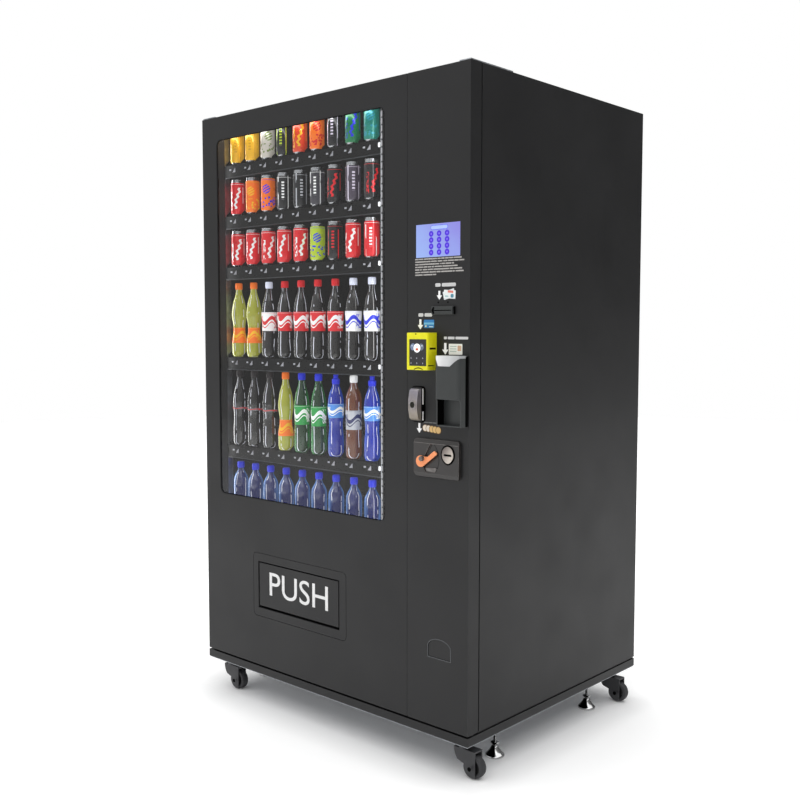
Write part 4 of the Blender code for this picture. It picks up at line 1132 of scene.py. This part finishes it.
def pictures(shape):
    """Two fanned banknotes, a blue card with a chip, a pale card with blank lines, and five coins."""
    notes = (1.0735, 1.3350)
    layers = (  # left, right, bottom, top, corner radius, corner steps, turn in degrees, depth, colour
        (1.0530, 1.0930, 1.3220, 1.3440, 0.0012, 4, 14, 1, (222, 226, 228)),
        (1.0560, 1.0960, 1.3215, 1.3440, 0.0012, 4, -4, 2, (236, 240, 240)),
        (1.0690, 1.0880, 1.3370, 1.3430, 0.0010, 4, -6, 3, (226, 128, 112)),
        (1.0800, 1.0900, 1.3240, 1.3340, 0.0030, 4, -4, 3, (86, 146, 166)),
        (1.0600, 1.0720, 1.3250, 1.3290, 0.0010, 4, -4, 3, (176, 206, 206)),
        (0.9850, 1.0215, 1.2425, 1.2650, 0.0025, 4, 0, 1, (52, 128, 196)),
        (0.9850, 1.0215, 1.2520, 1.2575, 0.0002, 1, 0, 2, (120, 188, 226)),
        (0.9890, 0.9950, 1.2455, 1.2500, 0.0010, 4, 0, 3, (222, 222, 196)),
        (1.0040, 1.0180, 1.2450, 1.2475, 0.0005, 4, 0, 3, (206, 226, 240)),
        (1.0735, 1.1200, 1.1715, 1.2005, 0.0020, 4, 0, 1, (238, 238, 228)),
        (1.1040, 1.1165, 1.1815, 1.1960, 0.0015, 4, 0, 2, (206, 170, 140)),
        (1.0780, 1.1000, 1.1923, 1.1947, 0.0005, 1, 0, 2, (176, 190, 180)),
        (1.0780, 1.1000, 1.1858, 1.1882, 0.0005, 1, 0, 2, (176, 190, 180)),
        (1.0780, 1.1000, 1.1793, 1.1817, 0.0005, 1, 0, 2, (176, 190, 180)),
    )
    for left, right, bottom, top, radius, steps, turn, depth, tint in layers:
        outline = rounded(left, right, bottom, top, radius, steps)
        layer(shape, turned_by(outline, notes, turn), depth, tint)
    for i, tint in enumerate([(226, 214, 198)] * 2 + [(216, 180, 120)] * 3):
        x, z = 0.9905 + 0.0119 * i, 0.9682 - 0.0009 * i
        layer(shape, round_outline(x, z, 0.0102), i + 1, (112, 84, 52))
        layer(shape, round_outline(x, z, 0.0086), i + 1.6, tint)


def display():
    """Picture of the touch display: background, entry field and twelve keys."""
    left, right, _, _, bottom, top = span("touch_screen")
    film = Shape()
    edge = 0.0015
    film.prism(rounded(left + edge, right - edge, bottom + edge, top - edge, 0.0008, 1), 0.0004, 0.0007)
    film.finish("display_film", "payment_door", [display_picture()], "screen_lavender")
    keys = Shape()
    keys.tint = tone(78, 86, 186)
    keys.prism(rounded(1.0080, 1.0686, 1.5064, 1.5190, 0.0062, 6), 0.0002, 0.00039)
    keys.tint = tone(140, 158, 226)
    keys.prism(rounded(1.0096, 1.0670, 1.5080, 1.5174, 0.0046, 6), 0.0001, 0.00019)
    for row in range(4):
        for column in range(3):
            x, z = 1.0101 + 0.0278 * column, 1.4963 - 0.0167 * row
            keys.tint = tone(60, 34, 172)
            keys.prism(round_outline(x, z, 0.0080), 0.0002, 0.00039)
            keys.tint = tone(112, 92, 206)
            keys.prism(rounded(x - 0.0020, x + 0.0020, z - 0.0024, z + 0.0024, 0.0012, 3), 0.0001, 0.00019)
    keys.finish("display_keys", "payment_door", [LIT], "screen_lavender")


def banknote_entry():
    """Guide, notch and dark slot of the banknote bezel, with two screws above it."""
    left, right, low, high = BEZEL
    front = span("bill_validator")[2]
    middle_height = (low + high) / 2
    dark = Shape()
    side = [(front + 0.0004, low + 0.001), (-0.0006, low + 0.001), (-0.0006, high - 0.001)]
    dark.prism_x([*side, (front + 0.0004, high - 0.001)], right + 0.0001, right + 0.0005)
    guide = rounded(right - 0.0030, right - 0.0004, low + 0.001, high - 0.001, 0.0006)
    dark.prism(guide, front - 0.0010, front - 0.0002)
    notch = [(left + 0.0010, middle_height), (left + 0.0056, high - 0.002), (left + 0.0110, high - 0.002)]
    notch += [(left + 0.0082, middle_height), (left + 0.0110, low + 0.002), (left + 0.0056, low + 0.002)]
    dark.prism(notch, front - 0.0006, front - 0.0001)
    dark.prism(rounded(1.0250, 1.0850, 1.2889, 1.2911, 0.0006), -0.0040, -0.0030)
    for x in (1.0362, 1.0700):
        dark.screw(x, -0.0001, 1.3115, 0.0022)
    dark.finish("banknote_guides", "payment_door", [SLOT], "inner_black_plastic")


def card_reader_details():
    """Round mark, key icons, camera dot, dark slots and moulded chin of the card reader."""
    _, right, front, _, _, _ = span("card_reader_case")
    glass = span("card_reader_screen")[2]
    face = Shape()
    outlines = (
        (tone(92, 104, 128), round_outline(0.9800, 1.1915, 0.0095), 1),
        (tone(84, 92, 104), round_outline(1.0090, 1.1915, 0.0095), 1),
        (tone(150, 160, 172), rounded(0.9740, 0.9800, 1.1930, 1.1965, 0.001), 2),
        (tone(150, 160, 172), rounded(1.0090, 1.0150, 1.1930, 1.1965, 0.001), 2),
        (tone(240, 240, 240), round_outline(0.9945, 1.1885, 0.0120), 3),
        (tone(172, 84, 62), rounded(0.9892, 0.9998, 1.1817, 1.1884, 0.0015), 4),
        (tone(108, 116, 132), rounded(0.9925, 0.9965, 1.1910, 1.1965, 0.001), 4),
    )
    for face.tint, outline, depth in outlines:
        face.prism(outline, glass - 0.0001 * depth, glass - 0.0001 * depth + 0.00007)
    face.tint = tone(120, 120, 126)
    for z in (1.1612, 1.1476):
        for x in (0.9730, 0.9934, 1.0147):
            icon = rounded(x - 0.0017, x + 0.0017, z - 0.0020, z + 0.0020, 0.001)
            face.prism(icon, glass - 0.0001, glass - 0.00003)
    face.finish("card_reader_marks", "payment_door", [LIT], "reader_glass")
    chin = Shape()
    middle_of_chin = (1.0000, 1.1077)
    crescent = arc(middle_of_chin, 0.0318, 49, 131, 14) + arc(middle_of_chin, 0.0288, 126, 54, 14)
    chin.prism(crescent, front - 0.0014, front - 0.0001)
    chin.finish("card_reader_chin", "payment_door", [YELLOW], "reader_yellow", bevel=0.0003)
    dark = Shape()
    below = arc(middle_of_chin, 0.0284, 56, 124, 14) + arc((1.0000, 1.1037), 0.0300, 118, 62, 14)
    dark.prism(below, front - 0.0004, front - 0.0001)
    dot = [(0.0020, 0), (0.0020, -0.0004), (0.0014, -0.0006), (0, -0.0006)]
    dark.turned(dot, 0.9908, front, 1.2267, "Y", 16)
    for y0, y1, low, high in ((-0.0297, -0.0043, 1.1848, 1.1892), (-0.0347, -0.0123, 1.1402, 1.1420)):
        dark.prism_x([(y0, low), (y1, low), (y1, high), (y0, high)], right - 0.0037, right - 0.0006)
    dark.finish("card_reader_slots", "payment_door", [SLOT], "inner_black_plastic")


def id_reader_details():
    """Painted shade in the scanner: a black sheet on the channel's inner left wall that widens under the
    head, and a dark strip down the back of its right side, partly its gap to the door and partly painted
    shadow.
    """
    left, right, _, _, bottom, top = span("id_reader")
    dark = Shape()
    wall = left + 0.0033
    head = 1.0567
    # Painted shade: a black sheet on the channel's inner left wall, widening under the head
    wall_shade = [(wall, bottom + 0.0035), (wall + 0.0006, bottom + 0.0035), (wall + 0.0006, head - 0.014)]
    wall_shade += [(wall + 0.003, head - 0.006), (wall + 0.009, head - 0.0004), (wall, head - 0.0004)]
    dark.prism(wall_shade, -0.0280, -0.0026)
    # Partly the gap where the reader meets the door, partly painted shadow
    seam_and_shade = [(-0.0100, bottom + 0.001), (-0.0006, bottom + 0.001), (-0.0006, top - 0.001)]
    dark.prism_x([*seam_and_shade, (-0.0100, top - 0.001)], right + 0.0002, right + 0.0006)
    dark.finish("scanner_shadows", "payment_door", [SLOT], "inner_black_plastic")
    back = Shape()
    back.prism(rounded(wall, right - 0.0033, bottom + 0.0033, head - 0.0004, 0.001), -0.0025, -0.0022)
    back.finish("scanner_channel_back", "payment_door", [SHELL], "inner_black_plastic")


def lock_details():
    """Cast ring round the key cylinder, the seat's pale right edge and its dark gasket."""
    x, _, z = middle("key_cylinder")
    front = span("t_handle")[2]
    ring = Shape()
    run = [(0.0087, -0.0002), (0.0122, -0.0002), (0.0114, -0.0018), (0.0093, -0.0018)]
    ring.turned(run, x, front, z, "Y", 28, closed=True)
    ring.finish("key_ring", "t_handle", [CAST], "handle_grey")
    dish = (0.9447, 0.9833, 0.9847, 1.0803, 0.0083)
    gasket = Shape()
    gasket.rim(rounded(0.9420, 0.9915, 0.9825, 1.0830, 0.010), rounded(*dish), -0.0006, -0.0002)
    gasket.prism(rounded(0.9800, 0.9856, 1.0135, 1.0330, 0.0005), -0.0047, -0.0044)
    gasket.prism(rounded(0.9852, 0.9856, 1.0135, 1.0330, 0.0001), -0.0043, -0.0012)
    gasket.finish("handle_gasket", "payment_door", [SLOT], "rubber_black")
    seat = Shape()
    seat.prism(rounded(0.9835, 0.9853, 0.9890, 1.0765, 0.0008, 2), -0.0043, -0.0009)
    seat.finish("handle_seat", "payment_door", [SCOOP], "handle_grey")


def pointed_oval(centre, half_width, half_height, steps=40):
    """An oval that narrows to a blunt point at its foot."""
    outline = []
    for i in range(steps):
        turn = 2 * math.pi * i / steps
        narrowed = half_width * (1 - 0.22 * max(0.0, -math.sin(turn)) ** 2)
        outline.append((centre[0] + narrowed * math.cos(turn), centre[1] + half_height * math.sin(turn)))
    return outline


def slot_outline(centre, half_width, half_height, steps=40):
    """A rectangle with as many points as an oval, at the same angles."""
    outline = []
    for i in range(steps):
        turn = 2 * math.pi * i / steps
        c, s = math.cos(turn), math.sin(turn)
        reach = min(half_width / max(abs(c), 1e-6), half_height / max(abs(s), 1e-6))
        outline.append((centre[0] + reach * c, centre[1] + reach * s))
    return outline


def coin_entry(face):
    """Metal disc with a slot, in its dark ring."""
    x, z = COIN_ENTRY
    ring = Shape()
    inside = pointed_oval((x, z - 0.0006), 0.0200, 0.0232)
    ring.rim(pointed_oval(COIN_ENTRY, 0.0240, 0.0275), inside, face - 0.0018, face - 0.0002)
    ring.finish("coin_entry_ring", "payment_door", [SLOT], "inner_black_plastic", bevel=0.0004)
    disc = Shape()
    opening = slot_outline((x, z - 0.0005), 0.0135, 0.0030)
    disc.rim(pointed_oval(COIN_ENTRY, 0.0197, 0.0229), opening, face - 0.0026, face - 0.0002)
    disc.finish("coin_entry", "payment_door", [COIN_METAL_PAINTED_SHADE], "chrome_steel", bevel=0.0006)


def lever_stud():
    """Stud that holds the coin-return lever."""
    stud = Shape()
    run = [(0.0070, -0.0001), (0.0070, -0.0085), (0.0060, -0.0100), (0.0035, -0.0104), (0, -0.0104)]
    stud.turned(run, LEVER_PIVOT[0], span("coin_return_lever")[2], LEVER_PIVOT[1], "Y", 24)
    stud.finish("lever_stud", "coin_return_lever", [COIN_METAL_PAINTED_SHADE], "chrome_steel")


def coin_panel_details():
    """The coin entry, the lever's stud, the panel's dark lines, a pale strip at the field's foot, and a
    painted highlight along the ridge below the panel's top.
    """
    x, z = COIN_ENTRY
    face = span("coin_acceptor")[2]
    coin_entry(face)
    lever_stud()
    dark = Shape()
    dark.prism(rounded(x - 0.0138, x + 0.0138, z - 0.0038, z + 0.0028, 0.0005), face - 0.0012, face - 0.0001)
    border = arc(LEVER_PIVOT, 0.0550, -42, 48, 16) + arc(LEVER_PIVOT, 0.0541, 48, -42, 16)
    dark.prism(border, face - 0.0003, face - 0.0001)
    dark.finish("coin_panel_lines", "payment_door", [SLOT], "inner_black_plastic")
    strip = Shape()
    foot = [(0.9985, 0.8590), (1.0010, 0.8500), (1.0330, 0.8492), (1.0385, 0.8590), (1.0340, 0.8615)]
    strip.prism(foot, -0.0078, -0.0047)
    # Painted highlight: a pale line along the ridge below the panel's top, in the same pale lacquer as the
    # strip at the field's foot
    strip.prism(rounded(0.9590, 1.1150, 0.9272, 0.9284, 0.0003, 1), face - 0.0003, face - 0.0001)
    rubbed = plain("pale_lacquer_and_painted_highlight", (116, 112, 110), (0.35, 70), (0.3, 0.45, 60), (900, 0.00004),
                   Metallic=0.2)
    strip.finish("coin_field_strip", "payment_door", [rubbed], "device_grey", bevel=0.0006)


def arched(margin, steps=10):
    """Outline of the coin-return opening, grown by a margin."""
    left, right, bottom, shoulder = CUP_OPENING
    left, right, bottom = left - margin, right + margin, bottom - margin
    half = (right - left) / 2
    outline = [(left, bottom), (right, bottom)]
    for i in range(steps + 1):
        turn = math.pi * i / steps
        rise = (CUP_ARCH + margin) * math.sin(turn)
        outline.append(((left + right) / 2 + half * math.cos(turn), shoulder + rise))
    return outline


def coin_return_details():
    """Thin bright line round the coin-return opening."""
    line = Shape()
    line.rim(arched(0.0016), arched(0.0003), -0.0006, -0.00005)
    line.finish("coin_return_trim", "payment_door", [CASE], "device_grey")


# ---- Base, back and inside -----------------------------------------------------------------------


def caster_wheels():
    """Grey tread on a plastic hub, with a dark cap on each end of the fork's axle."""
    for ending in ENDINGS:
        body = f"caster_wheel_{ending}"
        x, y, z = middle(body)
        wheel = Shape()
        side = [(0.0230, -0.0121), (0.0272, -0.0125), (0.0306, -0.0108), (0.0318, -0.0060), (0.0320, 0)]
        wheel.turned([*side, *[(r, -h) for r, h in side[-2::-1]]], x, y, z, "Y", 56, closed=True)
        wheel.slot = 1
        hub = [(0.0049, -0.0115), (0.0090, -0.0117), (0.0105, -0.0080), (0.0200, -0.0074), (0.0216, -0.0116)]
        hub += [(0.0228, -0.0112)]
        wheel.turned([*hub, *[(r, -h) for r, h in hub[::-1]]], x, y, z, "Y", 40, closed=True)
        made = wheel.finish(f"wheel_{ending}", body, [TREAD, PLASTIC], "rubber_black")
        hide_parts(body)
        caps = Shape()
        fork = span(f"caster_fork_{ending}")
        for face, out in ((fork[2], -1), (fork[3], 1)):
            run = [(0.0060, 0.0002 * out), (0.0060, 0.0014 * out), (0.0048, 0.0020 * out), (0, 0.0020 * out)]
            caps.turned(run, x, face, z, "Y", 20)
        caps.finish(f"axle_caps_{ending}", f"caster_fork_{ending}", [SLOT], "caster_black")


def levelling_feet():
    """Turned feet with a six-sided nut and a threaded stem."""
    plating = foot_plating_painted_reflection()
    pitch, turns = 0.0009, 95
    for ending in ENDINGS:
        x, y, _ = middle(f"levelling_foot_{ending}")
        foot = Shape()
        cone = [(0, 0), (0.0270, 0), (0.0288, 0.0014), (0.0290, 0.0032), (0.0280, 0.0056)]
        cone += [(0.0255, 0.0078), (0.0180, 0.0165), (0.0120, 0.0262), (0.0105, 0.0300)]
        foot.turned([*cone, (0.0080, 0.0318), (0.0080, 0.0324), (0, 0.0324)], x, y, 0, segments=48)
        thread = [(0.0050 - 0.0006 * (i % 2), 0.0326 + pitch * i) for i in range(turns)]
        foot.turned([(0, 0.0326), *thread, (0, 0.0326 + pitch * turns)], x, y, 0, segments=20)
        nut = [(0.0052, 0.0370), (0.0110, 0.0370), (0.0125, 0.0378), (0.0125, 0.0422)]
        foot.turned([*nut, (0.0110, 0.0430), (0.0052, 0.0430)], x, y, 0, segments=6, closed=True)
        body = f"levelling_foot_{ending}"
        made = foot.finish(f"foot_{ending}", body, [plating], "chrome_steel")
        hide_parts(body)


def service_screws():
    """Screws of the back panel, the hinge plates and the control box."""
    left, right, _, back, bottom, top = span("back_panel")
    screws = Shape()
    for i in range(7):
        z = bottom + 0.02 + (top - bottom - 0.04) * i / 6
        for x in (left + 0.012, right - 0.012):
            screws.screw(x, back + 0.0001, z, 0.0035, "Y", 1)
    for i in range(1, 6):
        x = left + (right - left) * i / 6
        for z in (bottom + 0.014, top - 0.014):
            screws.screw(x, back + 0.0001, z, 0.0035, "Y", 1)
    for node in ("top_left_hinge_plate", "top_right_hinge_plate"):
        x0, x1, _, end, _, high = span(node)
        for y in (end - 0.020, end - 0.070, end - 0.120):
            screws.screw((x0 + x1) / 2, y, high + 0.0001, 0.0045, "Z", 1)
    _, face, front, end, low, high = span("power_box")
    for y in (front + 0.020, end - 0.020):
        for z in (low + 0.020, high - 0.020):
            screws.screw(face + 0.0001, y, z, 0.003, "X", 1)
    screws.finish("service_screws", "cabinet", [ZINC], "galvanised_steel")


def refrigerant_pipes():
    """Copper lines between the compressor and the condenser."""
    cx, cy, _ = middle("compressor")
    pipes = Shape()
    for rise, y_end, reach in ((0.235, 0.572, 0.0032), (0.190, 0.590, 0.0045)):
        path = [(cx + 0.060, cy - 0.02, rise), (cx + 0.110, cy - 0.02, rise)]
        path += [(cx + 0.130, cy - 0.01, rise + 0.01), (cx + 0.140, y_end, rise + 0.04)]
        path += [(cx + 0.150, y_end, rise + 0.06), (cx + 0.168, y_end, rise + 0.062)]
        pipes.tube(path, reach, 10)
    copper = plain("copper", (176, 106, 72), (0.15, 30), (0.25, 0.4, 40), Metallic=0.9)
    pipes.finish("refrigerant_pipes", "cabinet", [copper], "chrome_steel")


# ---- Studio --------------------------------------------------------------------------------------


def studio():
    """Pale floor, white surroundings and soft lamps."""
    bm = bmesh.new()
    bmesh.ops.create_circle(bm, cap_ends=True, segments=64, radius=11)
    mesh = bpy.data.meshes.new("floor")
    bm.to_mesh(mesh)
    bm.free()
    floor = bpy.data.objects.new("floor", mesh)
    bpy.context.collection.objects.link(floor)
    mesh.materials.append(pale_floor_painted_light())
    surroundings()
    lamp("overhead", Vector((0, 0, 9.0)), Vector((0, 0, -1)), (20, 20), 1650)


def surroundings():
    """White to the camera. In reflections it is dimmer behind the machine's right side."""
    world = bpy.data.worlds.new("studio")
    bpy.context.scene.world = world
    world.use_nodes = True
    tree = world.node_tree
    seen = tree.nodes.new("ShaderNodeLightPath")
    direction = tree.nodes.new("ShaderNodeTexCoord").outputs["Generated"]
    parts = tree.nodes.new("ShaderNodeSeparateXYZ")
    join(tree, parts.inputs[0], direction)
    across, ahead, _ = [Signal(tree, output) for output in parts.outputs]
    towards_back_right = across * 0.67 + ahead * 0.74
    glow = (towards_back_right * -0.28 + 0.39).math("MAXIMUM", 0.08)
    shown = Signal(tree, seen.outputs["Is Camera Ray"])
    strength = shown * 1.0 + (shown * -1 + 1) * glow
    background = tree.nodes["Background"]
    background.inputs["Color"].default_value = (1, 1, 1, 1)
    join(tree, background.inputs["Strength"], strength)


def lamp(name, place, direction, size, power):
    """A soft rectangular lamp that the camera doesn't see, at a place of the frame."""
    light = bpy.data.lights.new(name, "AREA")
    light.shape = "RECTANGLE"
    light.size, light.size_y = size
    light.energy = power
    made = bpy.data.objects.new(name, light)
    made.location = place
    made.rotation_euler = direction.to_track_quat("-Z", "Y").to_euler()
    made.visible_camera = False
    bpy.context.collection.objects.link(made)


def cabinet_lamps():
    """Lamps that stand for the light of the ceiling lamp and of the strips on the uprights."""
    left, right, front, _, bottom, _ = span("light_strip")
    place = at((left + right) / 2, front - 0.001, bottom - 0.002)
    lamp("ceiling_glow", place, Vector((0, 0.25, -1)), (right - left, 0.012), 0.2)
    for side, aim in (("left", 1), ("right", -1)):
        left, right, front, _, bottom, top = span(f"{side}_upright")
        place = at((left + right) / 2, front - 0.006, (bottom + top) / 2)
        lamp(f"{side}_glow", place, Vector((aim, 0.22, 0)), (0.010, top - bottom - 0.05), 0.55)


def camera():
    """Camera in front of the machine's right-hand edge, slightly above the middle."""
    lens = bpy.data.cameras.new("camera")
    lens.lens = FOCAL_LENGTH
    lens.sensor_width = 36
    made = bpy.data.objects.new("camera", lens)
    made.location = CAMERA_PLACE
    made.rotation_euler = (math.radians(90 - CAMERA_DROP), 0, math.radians(CAMERA_TURN))
    bpy.context.collection.objects.link(made)
    bpy.context.scene.camera = made
    bpy.context.scene.view_settings.view_transform = "Standard"


def build():
    """Builds every piece."""
    finish_cad_nodes()
    spirals()
    lane_dividers()
    price_tags()
    light_strips()
    cans()
    bottles()
    main_door_details()
    door_edge_seal()
    small_print()
    stickers()
    display()
    banknote_entry()
    card_reader_details()
    id_reader_details()
    lock_details()
    coin_panel_details()
    coin_return_details()
    caster_wheels()
    levelling_feet()
    service_screws()
    refrigerant_pipes()
    studio()
    cabinet_lamps()
    camera()


build()
